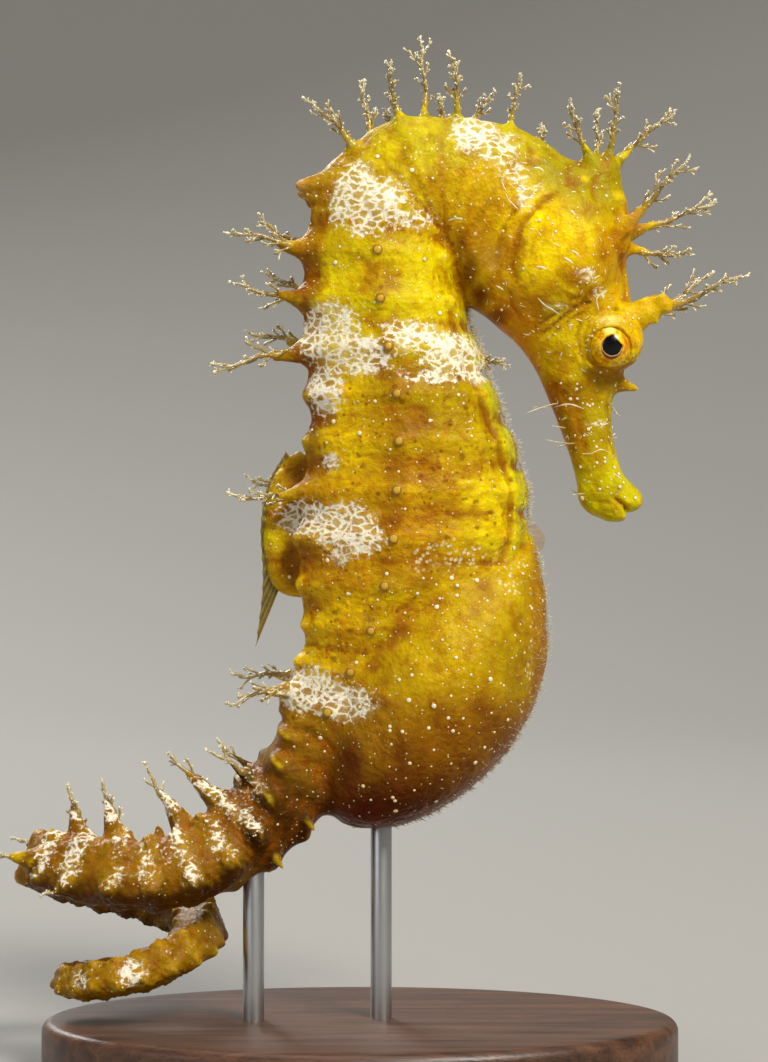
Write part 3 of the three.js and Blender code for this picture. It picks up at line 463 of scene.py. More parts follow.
melt(tail_rings(), 0.9)
melt(ellipsoids(both_sides(GILL["place"]), (GILL["radii"],) * 2, GILL["lean"]), 1.3)
melt(ellipsoids([CROWN["place"]], [CROWN["radii"]], CROWN["lean"]), 1.3)
melt(ellipsoids(both_sides(TURRET), [(TURRET_ACROSS, TURRET_OUT, TURRET_ACROSS)] * 2), 0.7)
lobe = spline(FIN_LOBE, np.linspace(0, len(FIN_LOBE) - 1, 60))
lobe_line = from_xz(lobe[:, :2], 0)
melt(tubes(np.stack([lobe_line, lobe_line + (1.2, 0, 0)]), np.stack([lobe[:, 2]] * 2), 24, 0.8), 0.9)
for group, share, power in (("crown", 0.36, 1.3), ("face", 0.42, 1.3), ("nape", 0.34, 1.2),
                            ("back", 0.5, 1.2), ("chest", 0.5, 1.2), ("tail", 0.8, 1.25)):
    melt(spindle(*zip(*FRONDS[group]), share, power), 0.7)
melt(spindle(*zip(*SPINES), 1.0, 1.1), 0.6)
flap = np.array([spline(tongue, np.linspace(0, 2, 24)) for tongue in SHOULDER_FLAP])
flap_lines = np.concatenate([flap[..., :3], flap[..., :3] * (1, -1, 1)])
melt(tubes(flap_lines, np.tile(flap[..., 3], (2, 1)), 20), 0.8)
# Two thin jaws and the mouth's slit between them, at the tip of the snout.
melt(ellipsoids([(21.7, 0, 47.2), (23.35, 0, 48.5)], [(1.25, 1.1, 0.55), (0.65, 1.05, 0.85)]), 0.4)
hollow(ellipsoids([(22.85, 0, 46.8)], [(0.2, 1.5, 1.0)], -0.35), 0.12)
hollow(ellipsoids(both_sides(EYE), [(EYE_RADIUS - 0.10,) * 3] * 2), 0.12)

# One pass of a 1-2-1 average along each axis takes the voxel steps out of the surface.
for axis in range(3):
    before, after = np.roll(flesh, 1, axis), np.roll(flesh, -1, axis)
    flesh = (before + 2 * flesh + after) / 4

skin_grid = openvdb.FloatGrid(BAND * VOXEL)
skin_grid.transform = transform
skin_grid.copyFromArray(flesh, ijk=tuple(int(v) for v in GRID_LOW))
skin_points, skin_tris, skin_quads = skin_grid.convertToPolygons(isovalue=0, adaptivity=0)
skin_points = skin_points.astype(float)


# ---- making pieces --------------------------------------------------------------------------------

def mesh_of(name, points, quads, tris=()):
    """Points in millimetres, four-sided and three-sided faces as a smooth mesh in metres, turned
    right way out by the sign of its volume."""
    quads = np.asarray(quads, int).reshape(-1, 4)
    tris = np.asarray(tris, int).reshape(-1, 3)
    halves = np.concatenate([quads[:, [0, 1, 2]], quads[:, [0, 2, 3]], tris])
    a, b, c = (points[halves[:, k]] for k in range(3))
    if (a * np.cross(b, c)).sum() < 0:
        quads, tris = quads[:, ::-1], tris[:, ::-1]
    mesh = bpy.data.meshes.new(name)
    corners = np.concatenate([quads.ravel(), tris.ravel()]).astype(np.int32)
    starts = np.concatenate([np.arange(len(quads)) * 4, len(quads) * 4 + np.arange(len(tris)) * 3])
    mesh.vertices.add(len(points))
    mesh.vertices.foreach_set("co", (points * MM).astype(np.float32).ravel())
    mesh.loops.add(len(corners))
    mesh.loops.foreach_set("vertex_index", corners)
    mesh.polygons.add(len(starts))
    mesh.polygons.foreach_set("loop_start", starts.astype(np.int32))
    mesh.update(calc_edges=True)
    mesh.shade_smooth()
    return mesh


def add_piece(name, mesh, material, replaces=()):
    """Puts a mesh in the scene as a piece that rides on the one body."""
    piece = bpy.data.objects.new(name, mesh)
    bpy.context.scene.collection.objects.link(piece)
    mesh.materials.clear()
    mesh.materials.append(material)
    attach(piece, "root")
    if replaces:
        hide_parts(*replaces)
    return piece


def give(mesh, name, values):
    """Stores one number or one linear colour for every vertex."""
    values = np.asarray(values, np.float32)
    if values.ndim == 1:
        mesh.attributes.new(name, "FLOAT", "POINT").data.foreach_set("value", values)
    else:
        values = np.concatenate([values, np.ones((len(values), 1), np.float32)], 1)
        mesh.attributes.new(name, "FLOAT_COLOR", "POINT").data.foreach_set("color", values.ravel())


def of_vertices(mesh, what):
    """The place ("co") or the normal of every vertex, as rows of three."""
    values = np.empty(len(mesh.vertices) * 3, np.float32)
    mesh.vertices.foreach_get(what, values)
    return values.reshape(-1, 3).astype(float)


def linear(code):
    """An sRGB hex value as a linear colour: ((c + .055) / 1.055) ^ 2.4, or c / 12.92 near black."""
    c = np.array([int(code[i:i + 2], 16) for i in (0, 2, 4)]) / 255
    return np.where(c <= 0.04045, c / 12.92, ((c + 0.055) / 1.055) ** 2.4)


def rgba(code):
    """The same with a whole fourth channel, as sockets and ramps take it."""
    return (*linear(code), 1.0)


# ---- skin mesh ------------------------------------------------------------------------------------

draft = bpy.data.objects.new("skin_draft", mesh_of("skin_draft", skin_points, skin_quads, skin_tris))
bpy.context.scene.collection.objects.link(draft)
thinner = draft.modifiers.new("thin", "DECIMATE")
triangles = 2 * len(skin_quads) + len(skin_tris)
thinner.ratio = min(1.0, SKIN_TRIANGLES / triangles)
skin_mesh = bpy.data.meshes.new_from_object(
    draft.evaluated_get(bpy.context.evaluated_depsgraph_get()))
bpy.data.objects.remove(draft)
skin_mesh.name = "skin"
count = len(skin_mesh.vertices)
place = of_vertices(skin_mesh, "co") / MM
x_at, y_at, z_at = place.T


def body_place(points):
    """Where points lie on the body: the station of the cross-section they are in, how far up it
    they are as a share of its half depth, and their height above it along and across. The section
    is the one, of many, whose line passes closest; points are taken in blocks."""
    steps = np.linspace(0, BODY_END, BODY_LOOKUP)
    middle, rise, deep, wide = (v.astype(np.float32) for v in section(steps))
    station, up, radius = (np.empty(len(points)) for _ in range(3))
    for part in np.array_split(np.arange(len(points)), max(1, len(points) // BLOCK)):
        away = points[part][:, None, [0, 2]].astype(np.float32) - middle
        along = away[..., 0] * rise[:, 0] + away[..., 1] * rise[:, 1]
        off = np.abs(away[..., 0] * rise[:, 1] - away[..., 1] * rise[:, 0])
        i = (off + 3 * np.maximum(0, np.abs(along) - deep)).argmin(1)
        rows = np.arange(len(part))
        station[part] = steps[i]
        up[part] = along[rows, i] / deep[i]
        radius[part] = np.hypot(up[part], points[part, 1] / wide[i])
    return station, up, radius


def tail_place(points):
    """Where points lie on the tail: the length of the nearest point of its line, the turn round it
    and the distance from it as a share of the girth."""
    lengths = np.linspace(0, TAIL_FULL, TAIL_LOOKUP)
    line, _, back, side = tail_frame(lengths)
    length, around, radius = (np.empty(len(points)) for _ in range(3))
    for part in np.array_split(np.arange(len(points)), max(1, len(points) // BLOCK)):
        gap = ((points[part][:, None].astype(np.float32) - line.astype(np.float32)) ** 2).sum(-1)
        i = gap.argmin(1)
        away = points[part] - line[i]
        length[part] = lengths[i]
        around[part] = np.arctan2((away * side[i]).sum(1), (away * back[i]).sum(1))
        radius[part] = np.linalg.norm(away, axis=1) / tail_girth(lengths[i])
    return length, around, radius


station, up, body_radius = body_place(place)
length, tail_turn, tail_radius = tail_place(place)
on_tail = smooth(-0.05, 0.12, body_radius - tail_radius) * smooth(33, 30, z_at)
on_trunk = smooth(NECK_START + 2, TRUNK_START, station) * (1 - on_tail)
pouch_line = spline(POUCH, np.linspace(0, len(POUCH) - 1, POUCH_LOOKUP))
inner, outer = pouch_line[:, 0:2], pouch_line[:, 2:4]
low = z_at < 47
on_pouch = np.zeros(count)
core = (inner + outer) / 2
near = np.argmin(np.abs(z_at[low, None] - core[:, 1]), axis=1)
pouch_radius = np.hypot(
    (x_at[low] - core[near, 0]) / np.maximum(0.5, np.linalg.norm(outer - inner, axis=1)[near] / 2),
    y_at[low] / np.maximum(0.5, pouch_line[near, 4]))
on_pouch[low] = smooth(1.12, 0.98, pouch_radius) * (1 - on_tail[low])
on_trunk *= 1 - on_pouch
half_deep = np.interp(station, body_steps, section(body_steps)[2])
keel_gap = (up + 1) * half_deep
back_gap = (1 - up) * half_deep
rings_before = ring_count(station)
joint = np.abs(rings_before - np.round(rings_before)) * RING_PITCH
keeled = (smooth(24.6, 25.6, station) * smooth(30.6, 29.9, station) * (1 - on_tail) * (1 - on_pouch)
          * (x_at > 6) * smooth(1.15, 1.05, body_radius))


def path_gap(points, path):
    """Distance in the x-z plane from points to a line of straight steps, and the share along it."""
    path = np.asarray(path, float)
    a, b = path[:-1], path[1:]
    away = points[:, None, [0, 2]] - a
    share = np.clip((away * (b - a)).sum(-1) / ((b - a) ** 2).sum(-1), 0, 1)
    gap = np.linalg.norm(away - share[..., None] * (b - a), axis=-1)
    rows, i = np.arange(len(points)), gap.argmin(1)
    return gap[rows, i], (i + share[rows, i]) / len(a)


def fine_path(points):
    """A curve through points, with six steps for each of them."""
    return spline(np.array(points, float), np.linspace(0, len(points) - 1, 6 * len(points)))


# Creases of the head, as lines in x and z, with their depth and half width. Negative is a fold
# that stands up.
CREASES = [
    ([(16.6, 74.3), (15.0, 73.2), (13.8, 71.7), (13.1, 69.9), (12.9, 68.0), (13.2, 66.2)], 0.24, 0.28),
    ([(15.9, 74.6), (14.2, 73.4), (13.0, 71.8), (12.3, 69.9), (12.1, 68.0), (12.6, 65.8)], -0.10, 0.32),
    ([(15.3, 74.6), (13.6, 73.5), (12.4, 71.9), (11.6, 69.9), (11.7, 67.6)], 0.10, 0.18),
    ([(13.9, 70.4), (13.5, 68.8), (13.5, 67.2), (13.9, 65.6)], 0.10, 0.16),
    ([(14.6, 70.2), (14.2, 68.6), (14.2, 67.2), (14.6, 65.9)], 0.08, 0.15),
    ([(12.5, 66.2), (12.8, 65.0), (13.6, 63.8)], 0.12, 0.18),
    ([(19.5, 65.2), (18.2, 64.7), (16.8, 63.6), (15.0, 62.2)], 0.26, 0.16),
    ([(19.9, 65.9), (18.0, 65.3), (16.2, 64.0), (14.5, 62.9)], 0.16, 0.15),
    ([(18.9, 64.3), (17.5, 63.5), (16.0, 62.2)], 0.14, 0.13),
    ([(16.3, 66.9), (17.6, 66.0), (18.9, 65.6), (20.0, 65.0)], -0.12, 0.18),
    ([(22.4, 64.9), (22.6, 66.9), (22.0, 69.2), (22.7, 71.0)], 0.22, 0.35),
    ([(18.6, 63.6), (18.35, 62.4), (18.5, 61.2), (19.0, 60.0)], 0.16, 0.16),
    ([(18.6, 58.8), (18.2, 57.0), (18.6, 54.6), (19.3, 52.0)], 0.16, 0.40),
    ([(20.6, 58.0), (20.5, 55.6), (20.9, 53.4), (21.3, 51.8)], -0.16, 0.30),
    ([(17.4, 59.4), (16.9, 57.4), (17.6, 55.0)], -0.12, 0.35),
    ([(22.9, 47.0), (22.4, 48.0), (21.5, 48.7)], 0.45, 0.18),
    ([(19.4, 48.7), (20.6, 48.3), (21.6, 48.9), (22.0, 49.9)], 0.10, 0.18),
    ([(20.3, 76.2), (19.6, 75.0), (19.8, 73.6)], 0.16, 0.22),
    ([(14.2, 78.4), (14.3, 76.9), (13.8, 76.0)], 0.12, 0.2),
    ([(17.8, 76.9), (17.4, 75.8), (17.6, 74.6)], 0.14, 0.22),
]
# Swellings and hollows of the head: x, z, reach in x, reach in z and rise.
SWELLS = [
    (21.7, 74.1, 1.0, 0.9, 0.35), (21.5, 70.7, 0.8, 1.1, -0.38), (19.7, 71.6, 1.2, 1.6, -0.16),
    (22.3, 72.4, 0.7, 0.6, 0.22), (17.0, 61.7, 1.2, 0.8, 0.16), (18.8, 75.6, 0.9, 0.8, 0.2),
    (16.0, 76.6, 1.2, 0.9, 0.14), (19.5, 66.9, 1.2, 0.7, 0.18), (20.6, 68.6, 0.8, 0.8, -0.18),
    (12.4, 63.3, 1.2, 0.8, 0.12), (10.4, 71.6, 1.4, 1.6, -0.16), (21.2, 59.2, 0.9, 0.5, -0.2),
]
normals = of_vertices(skin_mesh, "normal")
push = np.zeros(count)
flank = smooth(0.25, 0.6, np.abs(normals[:, 1]))
head_zone = (station < 19) & (z_at > 46)
fold_shade = np.zeros(count)
for path, deep, half_width in CREASES:
    gap, share = path_gap(place, fine_path(path))
    if deep > 0:
        fold_shade = np.maximum(fold_shade, min(1, 4 * deep) * bell(gap, 0.17) * flank * head_zone)
    push -= (deep * bell(gap, half_width) * flank * head_zone
             * smooth(0, 0.12, share) * smooth(1, 0.88, share))

for x, z, wide, tall, rise in SWELLS:
    push += rise * np.exp(-((x_at - x) / wide) ** 2 - ((z_at - z) / tall) ** 2) * flank

# Rings of folds round each eye turret.
eye_gap = np.hypot(x_at - EYE[0], z_at - EYE[2])
ring_gap = eye_gap + 0.08 * np.sin(3 * np.arctan2(z_at - EYE[2], x_at - EYE[0]))
beside_eye = np.abs(y_at) > 1.5
near_eye = smooth(3.4, 3.0, eye_gap) * smooth(1.45, 1.6, eye_gap) * beside_eye
eye_folds = np.cos((ring_gap - EYE_RADIUS) * 2 * np.pi / EYE_FOLD_PITCH)
push += near_eye * (0.035 * eye_folds)
push += 0.04 * bell(eye_gap - 1.7, 0.2) * beside_eye
turret_gap = np.hypot(x_at - TURRET[0], z_at - TURRET[2])
push -= 0.12 * bell(turret_gap - 2.62, 0.14) * beside_eye
fold_shade = np.maximum(fold_shade, near_eye * (0.5 - 0.5 * eye_folds) ** 2 * 0.2)

# Keel flange: a groove 1.5 mm in from the edge, and a notch in the edge at every ring joint.
push -= keeled * 0.34 * bell(keel_gap - 1.55, 0.32)
push -= keeled * 0.42 * bell(joint, 0.42) * smooth(1.3, 0.2, keel_gap)
# Fine joint lines across the trunk, and ridges that swell at the ring middles and sink between:
# most of all on the back's corner, less on the side and beside the keel.
half_wide = np.interp(station, body_steps, section(body_steps)[3])
round_turn = np.arctan2(np.abs(y_at) / half_wide, up)
swell = 0.5 - 0.5 * np.cos(2 * np.pi * rings_before)
push -= on_trunk * 0.06 * bell(joint, 0.18)
push += on_trunk * (1 - 0.6 * smooth(29.5, 31.5, station)) * (swell - 0.55) * (
    0.50 * bell(round_turn - 0.42, 0.34) + 0.16 * bell(round_turn - 1.54, 0.25)
    + 0.14 * bell(round_turn - 2.55, 0.25))
push += on_trunk * 0.10 * bell(round_turn - 1.54, 0.12)
# Fine folds across the nape and the throat.
nape = smooth(12, 16, station) * smooth(23, 20, station)
push += nape * 0.035 * np.sin(station * 9 + 0.6 * np.sin(z_at * 2.1))
# Soft lumps of the pouch.
push += on_pouch * 0.10 * np.sin(x_at * 1.3 + 0.5 * y_at) * np.sin(z_at * 1.1 + 1)

# Round knobs at the ring middles: on the side ridge, the lower ridge and the back's corner. Each is
# its place, its rise and whether it is on the side ridge.
knobs = []
for q, rise in ((4, 0.12), (6.6, 0.22), (1.15, 0.25)):
    for sign, _ in SIDES:
        centres = body_points(ring_middles, np.full(TRUNK_RINGS, sign * q))
        knobs.append(np.hstack([centres, np.tile((rise, q == 4), (TRUNK_RINGS, 1))]))
knobs = np.concatenate(knobs)
knob_tone = np.zeros(count)
knob_shade = np.zeros(count)
for x, y, z, rise, side_ridge in knobs:
    gap = np.linalg.norm(place - (x, y, z), axis=1)
    push += rise * bell(gap, KNOB_RADIUS) * (1 - on_pouch)
    knob_tone = np.maximum(knob_tone, bell(gap, KNOB_RADIUS * 1.05) ** 2 * (1 - on_pouch))
    if side_ridge:
        above = np.linalg.norm((place - (x, y, z + 1.0)) * (1.0, 1, 0.8), axis=1)
        knob_shade = np.maximum(knob_shade, bell(above, 0.75))
# Grains of the tail: rows of small beads round every ring, uneven in height.
beads = np.sin(length * 2 * np.pi / TAIL_BEAD_PITCH + np.sin(length * 1.3))
beads = beads * np.sin(tail_turn * 11 + 1.5 * np.sin(length * 0.8))
lumps = np.sin(length * 1.7 + tail_turn * 3) * np.sin(tail_turn * 5 + length * 0.6)
push += on_tail * 0.075 * beads * smooth(3, 8, length) * smooth(TAIL_FULL, TAIL_FULL - 8, length)
push += on_tail * 0.12 * lumps * smooth(3, 8, length)
place += normals * push[:, None]
skin_mesh.vertices.foreach_set("co", (place * MM).astype(np.float32).ravel())
skin_mesh.update()
normals = of_vertices(skin_mesh, "normal")
ends = np.empty(len(skin_mesh.edges) * 2, np.int32)
skin_mesh.edges.foreach_get("vertices", ends)
ends = ends.reshape(-1, 2)
neighbours = np.bincount(ends.ravel(), minlength=count)[:, None]


def settled(points, rounds):
    """Points moved to the mean of their neighbours, a number of times over."""
    for _ in range(rounds):
        points = np.stack([
            np.bincount(ends[:, 0], points[ends[:, 1], k], count)
            + np.bincount(ends[:, 1], points[ends[:, 0], k], count) for k in range(3)], 1) / neighbours
    return points


# How hollow the skin is, in mm: how far it rises when it settles. Below nought on ridges.
level = settled(place, 4)
hollow_fine = ((level - place) * normals).sum(1)
hollow_wide = ((settled(level, 16) - place) * normals).sum(1)

# ---- skin colours ---------------------------------------------------------------------------------

# Ground tones: name, colour, x, z and reach in mm.
TONES = [
    ("nape", "bcac00", 5.5, 78.2, 4.0), ("neck", "c4a800", 3.4, 74.1, 3.6),
    ("shoulder", "b89a00", -1.5, 73.0, 3.0), ("neck front", "cfa200", 8.6, 73.6, 2.6),
    ("gill cover", "ecce00", 15.9, 70.2, 2.8), ("gill cover back", "cfa400", 13.0, 69.4, 1.1),
    ("throat", "d2aa00", 10.8, 67.6, 1.8), ("jaw", "c48800", 12.6, 63.6, 1.8),
    ("crown", "a09000", 19.4, 75.0, 2.6), ("forehead", "d0a800", 22.4, 71.0, 1.8),
    ("brow foot", "b08600", 22.0, 69.0, 1.5), ("temple", "b48800", 18.0, 66.6, 1.5),
    ("cheek", "ccb200", 17.6, 63.4, 1.7), ("brow", "cda602", 23.2, 65.4, 1.4),
    ("eye turret", "dcba04", 21.5, 62.8, 2.0), ("turret foot", "a57c00", 21.4, 59.6, 1.1),
    ("snout ridge", "b6a400", 20.8, 55.6, 1.2), ("snout", "ae9200", 19.0, 54.6, 1.6),
    ("snout underside", "946000", 17.2, 55.4, 1.2), ("mouth", "c0b400", 21.0, 49.0, 1.6),
    ("lip", "c0b200", 22.9, 48.2, 0.9), ("upper trunk", "d2be00", 3.4, 66.4, 4.0),
    ("upper trunk back", "e2cc00", -3.2, 66.0, 2.0), ("upper trunk front", "dac400", 8.3, 66.4, 1.8),
    ("middle trunk", "a88a00", 4.6, 57.0, 3.4), ("middle trunk back", "dab600", -2.0, 56.0, 3.0),
    ("middle trunk front", "b09400", 9.4, 56.2, 2.6), ("lower middle", "ba9200", 5.6, 50.6, 2.6),
    ("lower trunk", "b88c00", 5.2, 46.6, 3.0), ("lower trunk back", "be9000", -2.6, 44.6, 3.0),
    ("lower trunk front", "dcc400", 11.0, 47.6, 2.6), ("loin", "d8b000", -2.6, 37.6, 2.6),
    ("pouch", "bc9a00", 6.6, 37.4, 4.4), ("pouch front", "a48800", 13.4, 36.6, 2.6),
    ("pouch low", "8a5800", 8.0, 28.0, 3.6), ("pouch bottom", "4e2404", 4.6, 21.6, 2.8),
    ("pouch back", "a07204", -1.0, 29.0, 2.6), ("tail root", "8e6804", -5.0, 28.0, 2.6),
    ("tail start", "3c2000", -7.0, 23.6, 2.6), ("tail", "745600", -18.0, 17.6, 4.0),
    # The tail underside's dark tone is painted shade.
    ("tail underside", "5a3204", -17.0, 15.0, 1.4), ("tail low", "8c6c00", -20.0, 8.6, 3.4),
]


def ground_tone(points):
    """The skin's ground colour: each named tone weighs exp(-(distance / reach)^2), with distance
    taken in x and z, and the colour is their weighted mean."""
    total = np.zeros((len(points), 3))
    weight = np.zeros(len(points)) + 1e-4
    total += linear("c99a00") * 1e-4
    for _, code, x, z, reach in TONES:
        w = np.exp(-((points[:, 0] - x) ** 2 + (points[:, 2] - z) ** 2) / reach**2)
        total += w[:, None] * linear(code)
        weight += w
    return total / weight[:, None]


def blotch(points, spots):
    """Soft-edged oval spots: the most of their bell curves. A spot is x, z, reach in x, reach in z
    and strength."""
    value = np.zeros(len(points))
    for x, z, wide, tall, strength in spots:
        value = np.maximum(value, strength * np.exp(
            -(((points[:, 0] - x) / wide) ** 2 + ((points[:, 2] - z) / tall) ** 2) ** 1.6))
    return value


# Patches of pale net: x, z, reach in x, reach in z, strength.
NET = [
    (-1.4, 74.4, 2.7, 2.9, 1.0), (1.4, 73.2, 3.0, 2.2, 0.9), (4.6, 72.0, 2.4, 1.2, 0.5),
    (0.5, 71.8, 2.6, 1.6, 0.6),
    (9.6, 79.4, 2.2, 1.9, 0.72), (11.6, 78.0, 1.9, 1.6, 0.62), (13.2, 75.6, 1.5, 1.3, 0.5),
    (13.9, 73.6, 0.8, 1.0, 0.6),
    (-2.6, 62.4, 2.6, 2.6, 1.0), (-0.2, 60.6, 3.2, 1.7, 1.0), (-2.8, 57.8, 1.5, 2.4, 0.85),
    (4.4, 62.2, 2.6, 1.4, 0.85), (7.6, 60.8, 2.8, 1.7, 0.95), (9.6, 59.4, 1.8, 1.2, 0.8),
    (6.0, 58.6, 3.2, 0.5, 0.6),
    (-4.4, 47.0, 2.6, 1.5, 1.0), (-1.6, 46.4, 2.8, 1.9, 1.0), (0.4, 45.2, 1.9, 1.5, 0.8),
    (-2.4, 51.6, 1.1, 1.0, 0.5), (-1.6, 44.0, 1.4, 1.2, 0.5),
    (-4.2, 32.6, 2.6, 2.0, 1.0), (-1.2, 31.6, 2.4, 1.6, 0.95), (-6.6, 33.4, 2.0, 1.4, 0.8),
    (20.3, 66.0, 0.9, 0.8, 0.44), (18.9, 67.4, 1.1, 0.8, 0.42), (16.6, 64.6, 1.3, 0.6, 0.38),
    (14.6, 74.6, 1.0, 1.0, 0.42), (20.0, 55.0, 1.2, 0.5, 0.36),
]
# Brown spots of the trunk, the pouch and the temple: x, z, reach in x, reach in z, strength.
BROWN = [
    (1.9, 60.4, 0.8, 0.9, 0.8), (4.6, 58.3, 3.2, 0.9, 0.45), (5.4, 54.9, 1.4, 0.9, 0.5),
    (1.2, 55.8, 0.8, 1.6, 0.4), (6.4, 50.3, 2.2, 1.3, 0.4), (-0.9, 46.6, 0.8, 1.4, 0.7),
    (5.3, 41.7, 1.5, 0.9, 0.6), (3.3, 37.7, 0.9, 0.8, 0.95), (2.1, 33.5, 0.8, 0.7, 0.9),
    (2.6, 31.6, 1.1, 0.6, 0.85), (3.6, 28.0, 0.8, 0.9, 0.75), (9.8, 31.6, 0.7, 0.8, 0.7),
    (-0.6, 27.4, 0.8, 1.4, 0.7), (6.8, 34.9, 0.7, 0.6, 0.35), (8.6, 36.9, 0.9, 0.6, 0.3),
    (12.8, 34.0, 0.9, 1.2, 0.4), (18.6, 67.0, 2.2, 0.8, 0.35), (7.2, 26.2, 1.0, 0.8, 0.4),
    (-4.4, 44.0, 1.0, 1.5, 0.45), (-2.4, 36.6, 1.2, 1.6, 0.4), (11.2, 51.0, 0.9, 1.6, 0.35),
]
# Golden brown clouds of the head and neck: x, z, reach in x, reach in z, strength.
AMBER = [
    (21.8, 70.2, 0.8, 1.1, 1.0), (20.3, 69.6, 1.0, 1.8, 0.7), (19.2, 72.8, 1.2, 0.9, 0.5),
    (17.9, 67.3, 1.7, 0.9, 0.6), (18.2, 64.4, 1.0, 1.1, 0.6), (15.2, 65.8, 1.2, 1.3, 0.55),
    (12.5, 63.9, 1.3, 1.3, 0.7), (11.8, 67.8, 1.4, 2.6, 0.75), (9.4, 70.0, 1.3, 2.2, 0.8),
    (13.2, 71.6, 0.6, 2.2, 0.7), (17.0, 60.4, 1.2, 1.3, 0.9), (16.2, 57.3, 0.9, 2.4, 0.85),
    (19.6, 57.4, 0.7, 1.0, 0.6), (18.4, 54.0, 0.6, 2.4, 0.75), (20.2, 51.6, 0.7, 0.9, 0.6),
    (20.8, 76.8, 0.6, 0.9, 0.6), (17.9, 75.2, 0.5, 0.9, 0.6), (14.5, 77.2, 0.5, 0.9, 0.6),
    (6.6, 75.6, 1.6, 1.4, 0.4), (5.0, 71.4, 1.8, 1.2, 0.5), (2.2, 73.0, 1.0, 0.8, 0.6),
    (20.6, 49.0, 0.8, 0.8, 0.3), (23.0, 66.0, 0.6, 0.8, 0.4), (15.8, 72.8, 0.8, 0.7, 0.3),
    (10.0, 64.0, 0.9, 1.2, 0.8), (12.9, 61.9, 1.0, 0.9, 0.85), (14.7, 59.9, 0.8, 1.2, 0.8),
    (15.7, 60.9, 0.8, 0.8, 0.6), (8.9, 66.8, 0.8, 1.6, 0.6),
]
# Painted shadow on the throat, under the shoulder: x, z, reach in x, reach in z, strength.
THROAT_SHADOW = [
    (8.5, 69.8, 0.6, 1.4, 0.7), (9.2, 67.6, 0.8, 1.6, 0.9), (10.1, 65.7, 0.9, 1.3, 1.0),
    (11.6, 64.0, 1.2, 0.8, 0.8),
]
POUCH_SPOTS = [
    (1.5, 31.7, 1.1, 0.6, 0.8), (3.5, 27.6, 0.6, 0.9, 0.8), (9.9, 31.2, 0.7, 0.8, 0.8),
    (-0.4, 26.8, 0.8, 1.0, 0.8), (12.0, 29.2, 1.4, 1.7, 0.6), (6.6, 25.6, 0.9, 0.6, 0.6),
    (9.2, 26.4, 0.8, 0.6, 0.6), (3.2, 37.6, 0.7, 0.6, 0.5),
]
# Painted shadow in the crease between the pouch and the tail's root, and along the pouch's foot: x, z,
# reach in x, reach in z, strength.
POUCH_CREASE_SHADOW = [(-0.9, 25.4, 1.1, 3.2, 1.0), (0.6, 22.2, 1.8, 1.6, 0.9), (3.6, 20.8, 3.4, 1.2, 0.8)]
UNDER_EYE = [(20.0, 60.4, 0.7, 0.9, 1.0), (22.9, 61.9, 0.4, 0.6, 0.7), (19.6, 62.2, 0.35, 1.2, 0.8)]
# Chalky granules of the pouch's top and front.
CHALK = [
    (8.0, 44.0, 4.2, 1.4, 1.0), (5.4, 43.0, 1.8, 0.9, 0.7), (12.8, 42.4, 1.6, 1.6, 0.8),
    (14.4, 36.0, 0.9, 4.5, 0.6),
]

# The marks of the left side are moved a little, so the two sides aren't mirror images.
moved = place.copy()
left = smooth(-1.0, 1.0, y_at)
moved[:, 0] += 0.7 * left * np.sin(z_at * 0.7)
moved[:, 2] += 1.1 * left * np.sin(x_at * 0.5 + 1)
tone = ground_tone(place)


def stain(code, amount):
    """Mixes a colour into the ground tone by an amount for every vertex."""
    tone[:] += (linear(code) - tone) * np.clip(amount, 0, 1)[:, None]


# Clouds and spots, then the keel's and the rings' colours. The keel's groove gets partly brown skin,
# partly painted shade.
uneven = 0.75 + 0.25 * np.sin(x_at * 3.1 + 2 * np.sin(z_at * 1.7)) * np.sin(z_at * 2.6 + 1)
stain("a66000", 0.85 * blotch(moved, AMBER) * uneven)
stain("8a5206", 0.75 * blotch(moved, BROWN) * (1 - on_tail))
back_strip = smooth(23.3, 24.3, station) * smooth(28.4, 27.6, station) * (1 - on_tail)
stain("4f2f07", 0.9 * back_strip * smooth(1.5, 0.5, back_gap))
# Brown in the keel's groove: partly the skin's own brown, partly painted shade.
stain("6e4204", keeled * (0.38 + 0.24 * np.sin(z_at * 1.7 + 2)) * bell(keel_gap - 1.7, 0.5))
stain("c2bc00", keeled * 0.85 * smooth(1.5, 0.9, keel_gap))
stain("96a800", keeled * 0.6 * bell(keel_gap - 0.5, 0.5) * bell(joint, 0.9))
stain("a3640a", on_trunk * 0.45 * bell(joint, 0.13))
stain("7c4a08", 0.5 * knob_shade * (1 - on_pouch) * (1 - on_tail))
stain("d8b04a", 0.35 * knob_tone)
stain("8a4a00", 0.36 * fold_shade)
# Painted shade in hollows and a painted highlight on ridges, less so beside the eye and inside the keel's
# edge.
calm = (1 - 0.65 * bell(turret_gap - 2.6, 0.8) * head_zone) * (1 - 0.4 * head_zone)
calm *= 1 - 0.5 * keeled * bell(keel_gap - 1.7, 0.7)
stain("8e4c00", 0.55 * calm * smooth(-0.005, 0.05, hollow_fine) * (1 - on_tail))
stain("9a5600", 0.65 * calm * smooth(0.0, 0.16, hollow_wide))
stain("f6da10", 0.45 * smooth(-0.035, -0.10, hollow_fine) * (1 - on_tail) * (1 - on_pouch))
# Painted shade on faces that turn downwards and away from the camera.
underside = smooth(0.6, 0.1, np.abs(normals[:, 1])) * smooth(0.35, -0.1, normals[:, 2])
stain("a85a00", 0.34 * underside * (1 - keeled) * (1 - on_tail))
# The brow's tan edge, a painted highlight on the turret over the eye, and the rust under it.
stain("a8702a", 0.75 * blotch(place, [(23.2, 72.4, 1.5, 1.5, 1.0)]) * smooth(22.2, 22.8, x_at))
# Painted highlight on the upper rim of the eye turret.
stain("fff0a0", 0.45 * blotch(place, [(20.9, 63.55, 0.9, 0.42, 1.0)]))
stain("b86408", 0.5 * blotch(place, UNDER_EYE))
